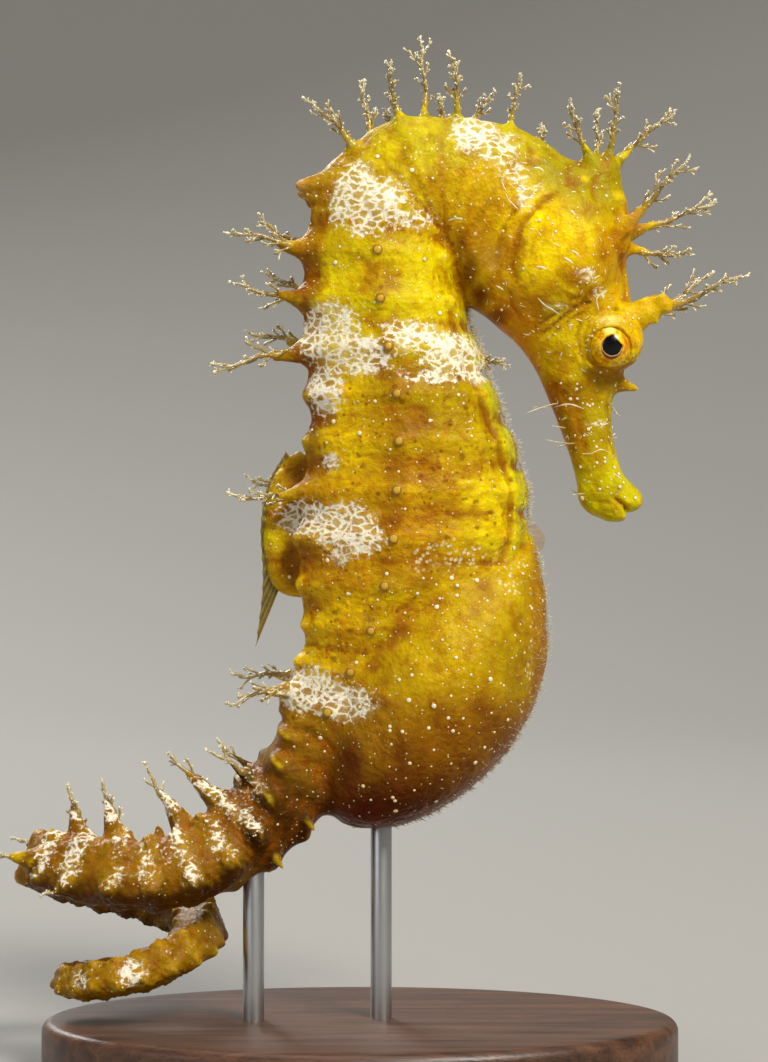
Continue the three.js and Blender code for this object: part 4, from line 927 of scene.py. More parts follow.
# The pouch darkens to its foot. Painted shadow darkens the crease between the pouch and the tail's root,
# and the throat in the shoulder's shadow.
pouch_low = on_pouch * smooth(30, 21, z_at + 0.25 * x_at - 1.5)
stain("5e2600", 0.7 * pouch_low)
stain("9a5a06", 0.55 * on_pouch * smooth(13.0, 15.2, x_at))
stain("5a1e02", 0.75 * blotch(place, POUCH_CREASE_SHADOW))
stain("6a3000", 0.95 * (1 - on_trunk) * blotch(place, THROAT_SHADOW))
stain("5a2a00", 0.6 * on_pouch * blotch(place, POUCH_SPOTS))
# A rusty band down the trunk's side, painted shade on the back face, and the dorsal fin's foot.
band = on_trunk * bell(round_turn - 1.45, 0.20) * smooth(71, 68, z_at) * smooth(40, 46, z_at)
stain("a26400", 0.45 * band * (0.55 + 0.45 * np.sin(z_at * 1.9 + np.sin(z_at * 0.7) * 2)))
# Painted shade on the trunk's back face, which the camera sees at a slant.
shaded_back = on_trunk * smooth(0.86, 0.66, round_turn) * smooth(31, 29, station)
shaded = (0.35 + 0.45 * smooth(52, 62, z_at)) * (0.75 + 0.25 * np.sin(z_at * 2.3))
stain("8a5204", shaded * shaded_back)
lobe_zone = smooth(-5.0, -5.8, x_at) * smooth(40.0, 41.5, z_at) * smooth(53.4, 52.2, z_at)
stain("d2be00", 0.8 * lobe_zone * smooth(-0.01, -0.08, hollow_fine))
stain("8a5800", 0.6 * lobe_zone * smooth(-7.2, -6.2, x_at))
lobe_foot = bell(x_at + 5.0, 0.45) * smooth(42, 44, z_at) * smooth(53, 51, z_at)
stain("8a5a08", 0.7 * lobe_foot * (station > 26))
tail_ring = tail_phase(length)
stain("9a5f08", on_tail * 0.5 * bell(tail_ring - np.round(tail_ring), 0.16))
# The net's patches, the tail's pale crust and the chalky granules.
net = blotch(moved, NET) * (1 - 0.85 * shaded_back * smooth(69, 72, z_at))
crest = 0.5 - 0.5 * np.cos(2 * np.pi * tail_ring)
crust = on_tail * smooth(-0.45, 0.55, normals[:, 2]) * (0.25 + 0.75 * crest) * smooth(2, 8, length)
crust *= (0.55 + 0.30 * np.sin(length * 0.9 + 3 * np.sin(length * 0.31))
          + 0.15 * np.sin(tail_turn * 4 + length))
crust *= smooth(2.8, 2.0, tail_radius) * (1 - 0.7 * smooth(44, 56, length))
crust = np.maximum(crust, 0.75 * on_tail * smooth(1.35, 1.7, tail_radius) * smooth(2, 6, length))
low_coil = blotch(place, [(-18.9, 9.3, 1.2, 1.3, 0.8), (-23.2, 8.4, 0.9, 0.9, 0.6)])
crust = np.maximum(crust, on_tail * (length > 45) * low_coil)
# Painted shade on the tail's downward faces along its first stretch.
stain("4a2200", 0.75 * on_tail * smooth(0.1, -0.8, normals[:, 2]) * smooth(56, 46, length))
stain("c89414", 0.4 * on_tail * crest * smooth(-0.2, 0.5, normals[:, 2]))
stain("cfae70", 0.6 * bell(np.hypot(x_at + 5.4, z_at - 75.0), 0.8) * (x_at < -3.5))
give(skin_mesh, "tone", tone)
give(skin_mesh, "net", net)
give(skin_mesh, "crust", np.clip(crust, 0, 1))
give(skin_mesh, "grain", blotch(place, CHALK))
trunk_rings = on_trunk * (0.45 + 0.55 * smooth(63, 58, z_at))
give(skin_mesh, "ringed", np.clip(trunk_rings + 0.4 * on_tail, 0, 1))


# ---- materials ------------------------------------------------------------------------------------

SOFT = {"interpolation_type": "SMOOTHSTEP"}
TIMES, TIMES_PLUS = {"operation": "MULTIPLY"}, {"operation": "MULTIPLY_ADD"}
PLUS, LESS, MOST = {"operation": "ADD"}, {"operation": "SUBTRACT"}, {"operation": "MAXIMUM"}


def fill(made, inputs):
    """Fills a node's inputs, each by its number or name: another node's output is joined to it, and
    anything else becomes its value."""
    for key, value in dict(inputs).items():
        if isinstance(value, bpy.types.NodeSocket):
            made.id_data.links.new(made.inputs[key], value)
        else:
            made.inputs[key].default_value = value


def node(tree, kind, inputs=(), out=0, stops=(), **settings):
    """Adds one node and gives back one of its outputs. Its inputs come in order or by name, its
    settings are its properties, and stops are the places and colours of a colour ramp."""
    made = tree.nodes.new("ShaderNode" + kind)
    for name, value in settings.items():
        setattr(made, name, value)
    fill(made, inputs if isinstance(inputs, dict) else enumerate(inputs))
    for _ in stops[2:]:
        made.color_ramp.elements.new(1.0)
    for k, (at, code) in enumerate(stops):
        made.color_ramp.elements[k].position = at
        made.color_ramp.elements[k].color = rgba(code)
    return made.outputs[out]


def new_material(name):
    """An empty material, its node tree, and its Principled surface joined to the output."""
    material = bpy.data.materials.new(name)
    material.use_nodes = True
    tree = material.node_tree
    tree.nodes.clear()
    surface = node(tree, "BsdfPrincipled")
    out = tree.nodes.new("ShaderNodeOutputMaterial")
    fill(out, {"Surface": surface})
    return material, tree, surface.node


def mm_coordinates(tree):
    """Object coordinates in millimetres."""
    where = node(tree, "TexCoord", out="Object")
    return node(tree, "VectorMath", {"Vector": where, "Scale": 1000.0}, operation="SCALE")


def washed(tree, colour, washes):
    """Lays washes over a colour, in order. A wash is its own colour, the share that it covers, a
    strength that multiplies that, and the way it blends."""
    for code, share, strength, blend in washes:
        if strength < 1:
            share = node(tree, "Math", (share, strength), **TIMES)
        colour = node(tree, "Mix", {0: share, 6: colour, 7: rgba(code)}, 2,
                      data_type="RGBA", blend_type=blend)
    return colour


def live_skin():
    """Living fish skin: a wet, translucent hide over flesh. It gives a soft golden glow, sharp
    small highlights, white nets, fine pale specks and brown clouds."""
    material, tree, shader = new_material("wet_fish_skin")
    where = mm_coordinates(tree)
    ground = node(tree, "Attribute", out="Color", attribute_name="tone")
    netted, crusted, grained, ringed = (
        node(tree, "Attribute", out="Fac", attribute_name=name)
        for name in ("net", "crust", "grain", "ringed"))

    def spots(distance, far, near, number, low, high):
        """Round spots that fade between two distances, in the cells whose number is high."""
        spot = node(tree, "MapRange", (distance, far, near), **SOFT)
        chosen = node(tree, "MapRange", (number, low, high), **SOFT)
        return node(tree, "Math", (spot, chosen), **TIMES)

    def ragged(share, noise, much, low, high):
        """A share with a ragged edge: a noise round nought is added, and the sum cut softly."""
        rough = node(tree, "Math", (noise, 0.5), **LESS)
        rough = node(tree, "Math", (rough, much, share), **TIMES_PLUS)
        return node(tree, "MapRange", (rough, low, high), **SOFT)

    # Three noises from the channels of each texture: clouds about 2.4 mm across, mottling about
    # 1 mm and grain about 0.5 mm. Streaks of 2.4 by 0.5 mm run round the rings.
    clouds, mottles, grains = (
        node(tree, "TexNoise", {"Vector": where, "Scale": scale, "Detail": detail, "Roughness": rough},
             "Color")
        for scale, detail, rough in ((0.42, 3.0, 0.6), (1.05, 2.0, 0.5), (2.1, 5.0, 0.72)))
    cloud, mottle, fine = (
        node(tree, "SeparateColor", (noise,)).node.outputs for noise in (clouds, mottles, grains))
    squashed = node(tree, "VectorMath", (where, (0.42, 0.42, 1.9)), **TIMES)
    streak = node(tree, "TexNoise", {"Vector": squashed, "Scale": 1.0, "Detail": 4.0, "Roughness": 0.6})
    washes = []
    for code, low, high, strength, blend in (
            ("e0c060", 0.50, 0.66, 0.5, "MULTIPLY"), ("747c20", 0.50, 0.38, 0.8, "DODGE")):
        share = node(tree, "MapRange", (streak, low, high), **SOFT)
        washes.append((code, node(tree, "Math", (share, ringed), **TIMES), strength, blend))
    for code, noise, low, high, strength, blend in (
            ("d4b060", cloud[0], 0.46, 0.72, 0.65, "MULTIPLY"),
            ("788000", cloud[1], 0.46, 0.72, 0.9, "DODGE"),
            ("e8b860", mottle[0], 0.48, 0.70, 0.5, "MULTIPLY"),
            ("687000", mottle[1], 0.48, 0.70, 0.8, "DODGE"),
            ("707400", fine[0], 0.54, 0.70, 0.8, "DODGE"),
            ("ccac68", fine[1], 0.54, 0.72, 0.5, "MULTIPLY")):
        washes.append((code, node(tree, "MapRange", (noise, low, high), **SOFT), strength, blend))

    # Net: warped cells 0.6 to 0.95 mm across, some of them khaki, with lines from nothing to 0.2 mm
    # wide. Brown spots sit in a few of the cells.
    warped = where
    for noise, reach in ((clouds, 0.75), (grains, 0.42), (mottles, 0.4)):
        warped = node(tree, "VectorMath", (noise, (reach, reach, reach), warped), **TIMES_PLUS)
    warped = node(tree, "VectorMath", (warped, (0.74, 0.88, 1.16)), **TIMES)
    cells = {"Vector": warped, "Scale": 1.42}
    edge = node(tree, "TexVoronoi", cells, "Distance", feature="DISTANCE_TO_EDGE")
    middle = node(tree, "TexVoronoi", cells, "Distance")
    cell = node(tree, "SeparateColor", (middle.node.outputs["Color"],)).node.outputs
    spot = spots(middle, 0.52, 0.18, cell[1], 0.88, 0.92)
    on_rings = node(tree, "Math", (ringed, 0.75, 0.2), **TIMES_PLUS)
    washes.append(("743c00", node(tree, "Math", (spot, on_rings), **TIMES), 0.70, "MIX"))
    patch, lined = (
        node(tree, "Math", (netted, node(tree, "Math", (crusted, share), **TIMES)), **MOST)
        for share in (0.30, 0.85))
    zone = ragged(patch, cloud[2], 2.0, 0.34, 0.70)
    line_zone = ragged(lined, fine[2], 1.8, 0.24, 0.56)
    khaki = node(tree, "Math", (cell[0], 0.7, 0.3), **TIMES_PLUS)
    washes.append(("cfbd84", node(tree, "Math", (zone, khaki), **TIMES), 0.58, "MIX"))
    haze = node(tree, "MapRange", (edge, 0.34, 0.04), **SOFT)
    washes.append(("ecdca6", node(tree, "Math", (haze, line_zone), **TIMES), 0.18, "MIX"))
    width = node(tree, "Math", (fine[1], 0.40), **LESS)
    width = node(tree, "Math", (width, 0.62, node(tree, "Math", (cloud[0], 0.10), **TIMES)), **TIMES_PLUS)
    line = node(tree, "MapRange", (node(tree, "Math", (width, edge), **LESS), -0.08, 0.06), **SOFT)
    washes.append(("faf4e0", node(tree, "Math", (line, line_zone), **TIMES), 0.86, "MIX"))

    # Pale specks 0.1 mm across, brown freckles on the rings, and chalky granules on the pouch's top.
    strewn = node(tree, "TexVoronoi", {"Vector": where, "Scale": 2.3}, "Distance")
    pick = node(tree, "SeparateColor", (strewn.node.outputs["Color"],)).node.outputs
    washes.append(("f2e6b0", spots(strewn, 0.24, 0.12, pick[0], 0.74, 0.80), 0.75, "MIX"))
    freckle = spots(strewn, 0.46, 0.20, pick[1], 0.86, 0.90)
    washes.append(("7a3e00", node(tree, "Math", (freckle, ringed), **TIMES), 0.65, "MIX"))
    granule = node(tree, "MapRange", (strewn, 0.50, 0.20), **SOFT)
    granule_zone = ragged(grained, cloud[1], 1.6, 0.35, 0.8)
    washes.append(("e6dca8", node(tree, "Math", (granule, granule_zone), **TIMES), 0.7, "MIX"))

    # The wet film fills the pores, so the gloss changes only a little, and the relief is pebbles
    # about 0.7 mm across.
    pebble = node(tree, "TexNoise", {"Vector": where, "Scale": 1.5, "Detail": 3.0, "Roughness": 0.55})
    fill(shader, {
        "Base Color": washed(tree, ground, washes),
        "Roughness": node(tree, "Math", (fine[0], 0.40, 0.14), **TIMES_PLUS),
        "IOR": 1.40, "Specular IOR Level": 0.08,
        "Subsurface Weight": 0.25, "Subsurface Radius": (1.0, 0.42, 0.02), "Subsurface Scale": 0.0007,
        "Coat Weight": 0.18, "Coat Roughness": 0.16, "Coat IOR": 1.34,
        "Normal": node(tree, "Bump", {"Strength": 1.0, "Distance": 0.00022, "Height": pebble}),
        "Coat Normal": node(tree, "Bump", {"Strength": 1.0, "Distance": 0.0006, "Height": pebble}),
    })
    return material


FLESH = [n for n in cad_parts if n.split("_")[0] in (
    "mouth", "snout", "head", "coronet", "gill", "neck", "trunk", "pouch", "tail")]
add_piece("skin", skin_mesh, live_skin(), FLESH)


# ---- filaments ------------------------------------------------------------------------------------

# A patch's width on the unrolled skin, and the turn from one twig to the next.
PATCH, GOLDEN_ANGLE = 0.003, 2.4
# Rows of a stem, a twig and a small twig, small twigs to a twig, beads to a stem, points to a line.
STEM_ROWS, TWIG_ROWS, SMALL_ROWS, SMALL_TWIGS, STEM_BEADS, LINE_POINTS = 40, 10, 6, 3, 26, 9
EYE_BEADS, SNOUT_BEADS, DASH_COUNT = 44, 64, 90
KEEL_HAIRS, RIM_HAIRS = 700, 900


def bake_place(roots):
    """Where roots lie on an unrolled skin: the body's stations run across the lower band and the
    tail's length across the upper one, with the turn round them going up."""
    station, up, gap = body_place(roots)
    length, around, tail_gap = tail_place(roots)
    turned = np.arctan2(roots[:, 1], up * 5) / (2 * np.pi)
    lower = np.stack([0.02 + 0.95 * station / BODY_END, 0.02 + 0.45 * (turned + 0.5)], 1)
    upper = np.stack([
        0.02 + 0.95 * length / TAIL_FULL, 0.52 + 0.45 * (around / (2 * np.pi) + 0.5)], 1)
    return np.where((tail_gap < gap)[:, None], upper, lower)


def spread(values, first, last, shape):
    """One value for every point of closed skins: the values over their rings, of the shape skins x
    rows x points round, and then those of each skin's two end points."""
    inner = np.broadcast_to(values, shape).reshape(shape[0], -1)
    ends = np.stack([np.broadcast_to(end, shape[0]) for end in (first, last)], 1)
    return np.concatenate([inner, ends], 1).ravel()


def patches(roots, around, way):
    """Each closed skin laid out as a small patch at its root's place on the unrolled skin."""
    corners = np.repeat(bake_place(roots), len(around) // len(roots), axis=0)
    return corners + PATCH * np.stack([around, way], 1)


def knobbly(paths, radii, sides, roots, reach, lies_on=None):
    """Closed tubes as points, faces, the share of the way to the tip for the colour, and patches.
    Tubes that lie on a skin are flattened to 0.4 of their height over it."""
    rings = tubes(paths, radii, sides)
    if lies_on is not None:
        height = ((rings - paths[:, :, None]) * lies_on[:, :, None]).sum(-1, keepdims=True)
        rings = rings - 0.6 * height * lies_on[:, :, None]
    shape = rings.shape[:3]
    along = spread(reach[:, :, None], reach[:, 0], reach[:, -1], shape)
    around = spread(np.arange(sides) / sides, 0.5, 0.5, shape)
    way = spread(np.linspace(0, 1, shape[1])[:, None], 0, 1, shape)
    return *closed(rings), along, patches(roots, around, way)


def join(parts):
    """Joins closed skins into one set of points, faces, reaches and patches."""
    points, quads, tris, reach, uv = zip(*parts)
    start = np.cumsum([0] + [len(group) for group in points[:-1]])
    quads = [faces + first for faces, first in zip(quads, start)]
    tris = [faces + first for faces, first in zip(tris, start)]
    return tuple(np.concatenate(group) for group in (points, quads, tris, reach, uv))


def branch(paths, at, lean, size, rows, first_turn):
    """Twigs that leave paths at shares `at`, each leaning from its path by an angle and turned on
    round it by the golden angle: tip = root + size (cos lean along + sin lean outwards), curling a
    little towards the path's way."""
    steps = paths.shape[1]
    i = np.clip((at * (steps - 1)).astype(int), 0, steps - 2)
    k = np.arange(len(paths))[:, None]
    root = paths[k, i]
    along = unit(paths[k, i + 1] - paths[k, i])
    least = np.eye(3)[np.argmin(np.abs(along), -1)]
    a = unit(np.cross(along, least))
    b = np.cross(along, a)
    turn = first_turn[:, None] + GOLDEN_ANGLE * np.arange(at.shape[1])
    out = np.cos(turn)[..., None] * a + np.sin(turn)[..., None] * b
    way = np.cos(lean)[..., None] * along + np.sin(lean)[..., None] * out
    u = np.linspace(0, 1, rows)
    twig = root[:, :, None] + size[..., None, None] * (
        u[:, None] * way[:, :, None] + 0.28 * (u**2)[:, None] * (along - out * 0.4)[:, :, None])
    bend = 0.07 * size[..., None, None] * np.sin(u * 5 + turn[..., None])[..., None] * b[:, :, None]
    return (twig + bend).reshape(-1, rows, 3)


def tip_swell(u, thin, root, knob):
    """A twig's half thickness: from root to thin along it, with a bead at its tip."""
    return thin + (root - thin) * (1 - u) ** 1.6 + knob * bell(u - 0.93, 0.1)


def frond_set(fronds, twigs, seed):
    """Branched filaments: a wavy knotted stem, twigs along it with small twigs of their own, and pale
    beads that stand half out of the stem."""
    rnd = np.random.default_rng(seed)
    many, all_twigs = len(fronds), len(fronds) * twigs
    start, end, root = (np.array([frond[k] for frond in fronds], float) for k in range(3))
    root = root[:, None]
    span = np.linalg.norm(end - start, axis=1)[:, None]
    way = unit(end - start)
    side = unit(np.cross(way, (0.3, 1, 0.2)))
    over = np.cross(way, side)
    u = np.linspace(0, 1, STEM_ROWS)
    phase = rnd.uniform(0, 6.28, (many, 1))
    bow = np.sin(u * np.pi)[None]
    sideways = (0.055 * bow * np.cos(phase) + 0.018 * np.sin(u * 13 + phase) * u) * span
    upwards = (0.04 * bow * np.sin(phase) + 0.018 * np.cos(u * 11 + phase) * u) * span
    stems = (start[:, None] + (end - start)[:, None] * u[:, None]
             + sideways[..., None] * side[:, None] + upwards[..., None] * over[:, None])
    thick = 0.14 + (root * 0.8 - 0.14) * (1 - u[None]) ** 2.6
    thick = np.maximum(thick, 0.12 + 0.13 * root * (1 - u[None]))
    knots = 1 + 0.13 * np.sin(u * 52 + phase) + 0.10 * np.sin(u * 33 + 2 * phase)
    thick = thick * knots * (1 - 0.25 * smooth(0.97, 1.0, u))
    parts = [knobbly(stems, thick, 10, start, np.broadcast_to(u * 0.8, (many, STEM_ROWS)))]

    at = np.linspace(0.30, 0.985, twigs)[None] + rnd.uniform(-0.04, 0.01, (many, twigs))
    size = span * (0.33 - 0.20 * at) * rnd.uniform(0.4, 1.3, (many, twigs))
    size = np.clip(size, 0.4, 2.0)
    lean = rnd.uniform(0.65, 1.15, (many, twigs)) * (1 - 0.35 * (at > 0.9))
    twig = branch(stems, at, lean, size, TWIG_ROWS, phase[:, 0])
    v = np.linspace(0, 1, TWIG_ROWS)
    radii = tip_swell(v[None], 0.065, 0.13, 0.075) * (1 + 0.15 * np.sin(v * 16))
    radii = radii * rnd.uniform(0.85, 1.2, (all_twigs, 1))
    roots = np.repeat(start, twigs, axis=0)
    reach = np.clip(at.reshape(-1, 1) * 0.7 + 0.3 * v[None], 0, 1)
    parts.append(knobbly(twig, radii, 6, roots, reach))

    shape = (all_twigs, SMALL_TWIGS)
    at = np.array([[0.45, 0.68, 0.86]]) + rnd.uniform(-0.07, 0.07, shape)
    size = np.clip(size.reshape(-1, 1) * rnd.uniform(0.2, 0.45, shape), 0.22, 0.7)
    lean = rnd.uniform(0.6, 1.1, shape)
    small = branch(twig, at, lean, size, SMALL_ROWS, rnd.uniform(0, 6, all_twigs))
    w = np.linspace(0, 1, SMALL_ROWS)[None] * np.ones((all_twigs * SMALL_TWIGS, 1))
    reach = np.clip(0.75 + 0.25 * w, 0, 1)
    roots = np.repeat(roots, SMALL_TWIGS, axis=0)
    parts.append(knobbly(small, tip_swell(w, 0.05, 0.075, 0.075), 5, roots, reach))

    shape = (many, STEM_BEADS)
    at = np.linspace(0.16, 0.97, STEM_BEADS)[None] + rnd.uniform(-0.03, 0.02, shape)
    row = np.clip((at * (STEM_ROWS - 1)).astype(int), 0, STEM_ROWS - 2)
    size = np.take_along_axis(thick, row, 1) + 0.07
    bead = branch(stems, at, np.full(shape, 1.5), size, 4, phase[:, 0] + 0.7)
    radii = np.array([0.04, 0.075, 0.085, 0.05]) * rnd.uniform(0.7, 1.2, (many * STEM_BEADS, 1))
    roots = np.repeat(start, STEM_BEADS, axis=0)
    parts.append(knobbly(bead, radii, 6, roots, np.ones_like(radii)))
    return join(parts)


def filament_skin():
    """Skin filaments: thin, wet, nearly clear skin. Yellow at the root, greyish and glassy along the
    stem, with cream and rusty beads at the tips."""
    material, tree, shader = new_material("clear_skin_filament")
    where = mm_coordinates(tree)
    reach = node(tree, "Attribute", out="Fac", attribute_name="reach")
    ground = node(tree, "Attribute", out="Color", attribute_name="tone")
    stem = node(tree, "ValToRGB", (reach,), stops=(
        (0.12, "a8840c"), (0.50, "927a3a"), (0.78, "b8a878"), (0.95, "e6dcb6")))
    to_root = node(tree, "MapRange", (reach, 0.42, 0.10))
    rooted = node(tree, "Mix", {0: to_root, 6: stem, 7: ground}, 2, data_type="RGBA")
    speck = node(tree, "TexNoise", {"Vector": where, "Scale": 2.8, "Detail": 4.0})
    rust = node(tree, "MapRange", (speck, 0.56, 0.66, 0, 0.6))
    tooth = node(tree, "TexNoise", {"Vector": where, "Scale": 5.0, "Detail": 3.0})
    fill(shader, {
        "Base Color": washed(tree, rooted, [("a5701f", rust, 1, "MIX")]), "Roughness": 0.32,
        "Subsurface Weight": 0.35, "Subsurface Radius": (1.0, 0.8, 0.45), "Subsurface Scale": 0.0005,
        "Coat Weight": 0.5, "Coat Roughness": 0.15,
        "Normal": node(tree, "Bump", {"Strength": 0.6, "Distance": 0.00008, "Height": tooth}),
    })
    return material


def coat_piece(name, made, material):
    """A coat piece from joined tubes, with its reach, its ground tone and its unrolled place."""
    points, quads, tris, reach, uv = made
    mesh = mesh_of(name, points, quads, tris)
    give(mesh, "reach", reach)
    give(mesh, "tone", ground_tone(points))
    layer = mesh.uv_layers.new(name="OFBake")
    corner = np.empty(len(mesh.loops), np.int32)
    mesh.loops.foreach_get("vertex_index", corner)
    layer.uv.foreach_set("vector", uv[corner].astype(np.float32).ravel())
    return add_piece(name, mesh, material)


def pimple_skin(name, foot, flank, top):
    """Skin pimples and folds that have lost their colour: smooth and wet, pale on top of a brown
    foot."""
    material, tree, shader = new_material(name)
    reach = node(tree, "Attribute", out="Fac", attribute_name="reach")
    fill(shader, {
        "Base Color": node(tree, "ValToRGB", (reach,), stops=((0.05, foot), (0.40, flank), (0.72, top))),
        "Roughness": 0.30,
        "Subsurface Weight": 0.15, "Subsurface Radius": (1.0, 0.8, 0.45), "Subsurface Scale": 0.0003,
        "Coat Weight": 0.4, "Coat Roughness": 0.15,
    })
    return material


def on_skin(xz, sides):
    """The skin over places in x and z: for each, of the vertices that face its side, the nearest in
    x and z gives a plane, and the point is on that plane. Returns points and the way they face, with
    no numbers where the skin is too far off."""
    points, facing = np.empty((len(xz), 3)), np.empty((len(xz), 3))
    for side, _ in SIDES:
        ours = np.flatnonzero(normals[:, 1] * side > 0.22)
        wanted = np.flatnonzero(sides == side)
        for part in np.array_split(wanted, max(1, len(wanted) // 60)):
            gap = ((xz[part][:, None] - place[ours][:, [0, 2]]) ** 2).sum(-1)
            i = ours[(gap - 0.01 * side * place[ours, 1]).argmin(1)]
            away = xz[part] - place[i][:, [0, 2]]
            y = place[i, 1] - (away * normals[i][:, [0, 2]]).sum(1) / normals[i, 1]
            points[part] = from_xz(xz[part], y)
            facing[part] = normals[i]
            lost = (np.linalg.norm(away, axis=1) > 0.3) | (np.abs(y - place[i, 1]) > 0.4)
            points[part[lost]] = np.nan
    return points, facing


def domes(centres, facing, radii, tall, rows=5, around=8, shade=1.0):
    """Small closed domes half sunk in the skin: a ball of latitudes set on the way the skin faces,
    flattened along it."""
    down = np.linspace(0.25, np.pi * 0.72, rows)
    turn = turns(around)
    a = unit(np.cross(facing, np.array([0.3, 0.2, 1.0])))
    b = np.cross(facing, a)
    ring = np.sin(down)[:, None, None] * (np.cos(turn)[None, :, None] * a[:, None, None]
                                          + np.sin(turn)[None, :, None] * b[:, None, None])
    ball = ring + tall * np.cos(down)[None, :, None, None] * facing[:, None, None]
    rings = centres[:, None, None] + radii[:, None, None, None] * ball
    shape = rings.shape[:3]
    reach = shade * spread(smooth(-0.3, 1.0, np.cos(down))[:, None], 1, 0, shape)
    turned = spread(np.arange(around) / around, 0.5, 0.5, shape)
    return *closed(rings), reach, patches(centres, turned, spread(0, 0.5, 0.5, shape))


# Raised pale lines on the head, as points in x and z.
SCRIBBLES = [
    [(17.6, 72.7), (18.0, 72.3)], [(15.9, 71.7), (16.2, 71.4)], [(16.1, 69.9), (16.7, 69.6)],
    [(17.6, 69.2), (18.0, 69.1), (18.4, 68.7)], [(14.7, 67.9), (15.1, 67.9), (15.6, 67.7)],
    [(20.1, 64.4), (19.9, 65.4), (20.5, 66.0)], [(19.9, 65.4), (19.5, 65.8)],
    [(18.2, 67.2), (18.9, 67.6), (19.5, 66.9), (19.2, 66.4)], [(19.5, 66.9), (20.1, 67.3)],
    [(17.0, 68.7), (17.8, 68.2)], [(14.9, 65.4), (15.5, 64.8), (16.2, 64.4), (17.0, 63.9)],
    [(18.1, 63.7), (18.7, 63.5)], [(13.3, 64.9), (13.9, 64.7)],
    [(12.2, 74.2), (12.5, 73.6), (12.8, 73.3), (13.3, 72.8)], [(7.4, 71.9), (8.1, 72.1), (8.9, 72.0)],
    [(11.4, 66.5), (11.8, 66.3), (12.1, 66.1)], [(12.3, 67.8), (12.7, 67.8), (13.0, 67.6)],
    [(11.0, 80.4), (11.3, 79.8), (11.8, 79.2), (12.1, 78.4), (12.8, 77.5)],
    [(11.9, 75.4), (12.0, 74.9), (12.3, 74.3)], [(13.2, 77.0), (13.5, 76.1), (14.1, 75.7)],
    [(14.6, 76.4), (15.1, 76.4), (15.5, 76.1)], [(13.3, 74.9), (13.9, 74.5), (14.4, 74.7)],
    [(16.5, 56.4), (17.7, 56.6), (18.9, 56.2)], [(19.8, 54.8), (20.7, 54.9), (21.3, 55.2)],
    [(17.7, 52.7), (19.3, 52.4), (20.4, 52.8), (21.5, 52.3)], [(21.4, 50.8), (22.2, 50.3)],
]


def laid_lines(table, thick, shade):
    """Lines laid on the skin of both sides: each is a curve through its places, as a flat ribbon
    that lies along the skin and thins to its ends as sin^0.6."""
    u = np.linspace(0, 1, LINE_POINTS)
    curves = np.array([spline(np.array(line), u * (len(line) - 1)) for line in table])
    lines = np.concatenate([curves, curves + (0.15, -0.2)])
    points, facing = on_skin(lines.reshape(-1, 2), np.repeat([-1, 1], len(table) * LINE_POINTS))
    paths, facing = (rows.reshape(-1, LINE_POINTS, 3) for rows in (points, facing))
    whole = np.isfinite(paths).all((1, 2))
    paths, facing = paths[whole], facing[whole]
    number = np.arange(len(paths))[:, None]
    radii = thick * np.sin(np.pi * (0.06 + 0.88 * u)) ** 0.6
    radii = radii * (1 + 0.25 * np.sin(u * 17 + number)) * (0.75 + 0.35 * np.sin(5.1 * number))
    reach = np.full((len(paths), LINE_POINTS), shade)
    return knobbly(paths, radii, 8, paths[:, LINE_POINTS // 2], reach, facing)


rnd = np.random.default_rng(21)
# Pimples in loose rows 1.3 mm apart over the whole body, and thicker on the pouch.
cells = np.stack(np.meshgrid(np.arange(-9, 26, 1.25), np.arange(20, 82, 1.3)), -1).reshape(-1, 2)
cells = np.concatenate([cells, cells + 0.1])
pimple_side = np.repeat([-1, 1], len(cells) // 2)
cells = cells + rnd.normal(0, (0.5, 0.34), cells.shape)
pouched = smooth(46, 42, cells[:, 1]) * smooth(-2, 1, cells[:, 0])
thick_set = (np.sin(cells[:, 0] * 0.9 + 1.3 * np.sin(cells[:, 1] * 0.5))
             * np.sin(cells[:, 1] * 0.8 + 0.7))
wanted = rnd.uniform(0, 1, len(cells)) < 0.40 + 0.25 * pouched + 0.35 * thick_set
centres, facing = on_skin(cells[wanted], pimple_side[wanted])
clear = np.hypot(centres[:, 0] - EYE[0], centres[:, 2] - EYE[2]) > 1.65
kept = np.isfinite(centres).all(1) & clear
centres, facing = centres[kept], facing[kept]
sizes = rnd.choice([0.06, 0.09, 0.13, 0.18, 0.23], len(centres), p=[0.28, 0.32, 0.24, 0.11, 0.05])
sizes *= np.where((centres[:, 0] > 9) & (centres[:, 2] > 50), 0.8, 1.0)
# Beads round each eye turret, and larger ones strewn down the snout.
bead_turn, bead_out = rnd.uniform(0, 2 * np.pi, EYE_BEADS), rnd.uniform(1.75, 2.6, EYE_BEADS)
bead_xz = TURRET[[0, 2]] + bead_out[:, None] * np.stack([np.cos(bead_turn), np.sin(bead_turn)], 1)
down, across = np.random.default_rng(5).uniform(0, 1, (2, SNOUT_BEADS))
snout_xz = np.stack([16.9 + 2.6 * down + 3.4 * across, 58.5 - 10.6 * down + 0.8 * across], 1)
bead_xz = np.vstack([bead_xz, snout_xz])
number = np.arange(len(bead_xz))
bead_at, bead_facing = on_skin(bead_xz, np.where(number % 2, 1, -1))
clear = np.hypot(bead_xz[:, 0] - EYE[0], bead_xz[:, 1] - EYE[2]) > 1.6
kept = np.isfinite(bead_at).all(1) & clear
centres, facing = np.vstack([centres, bead_at[kept]]), np.vstack([facing, bead_facing[kept]])
bead_sizes = rnd.uniform(0.06, 0.13, len(bead_xz)) * np.where(number < EYE_BEADS, 1, 1.35)
sizes = np.append(sizes, bead_sizes[kept])
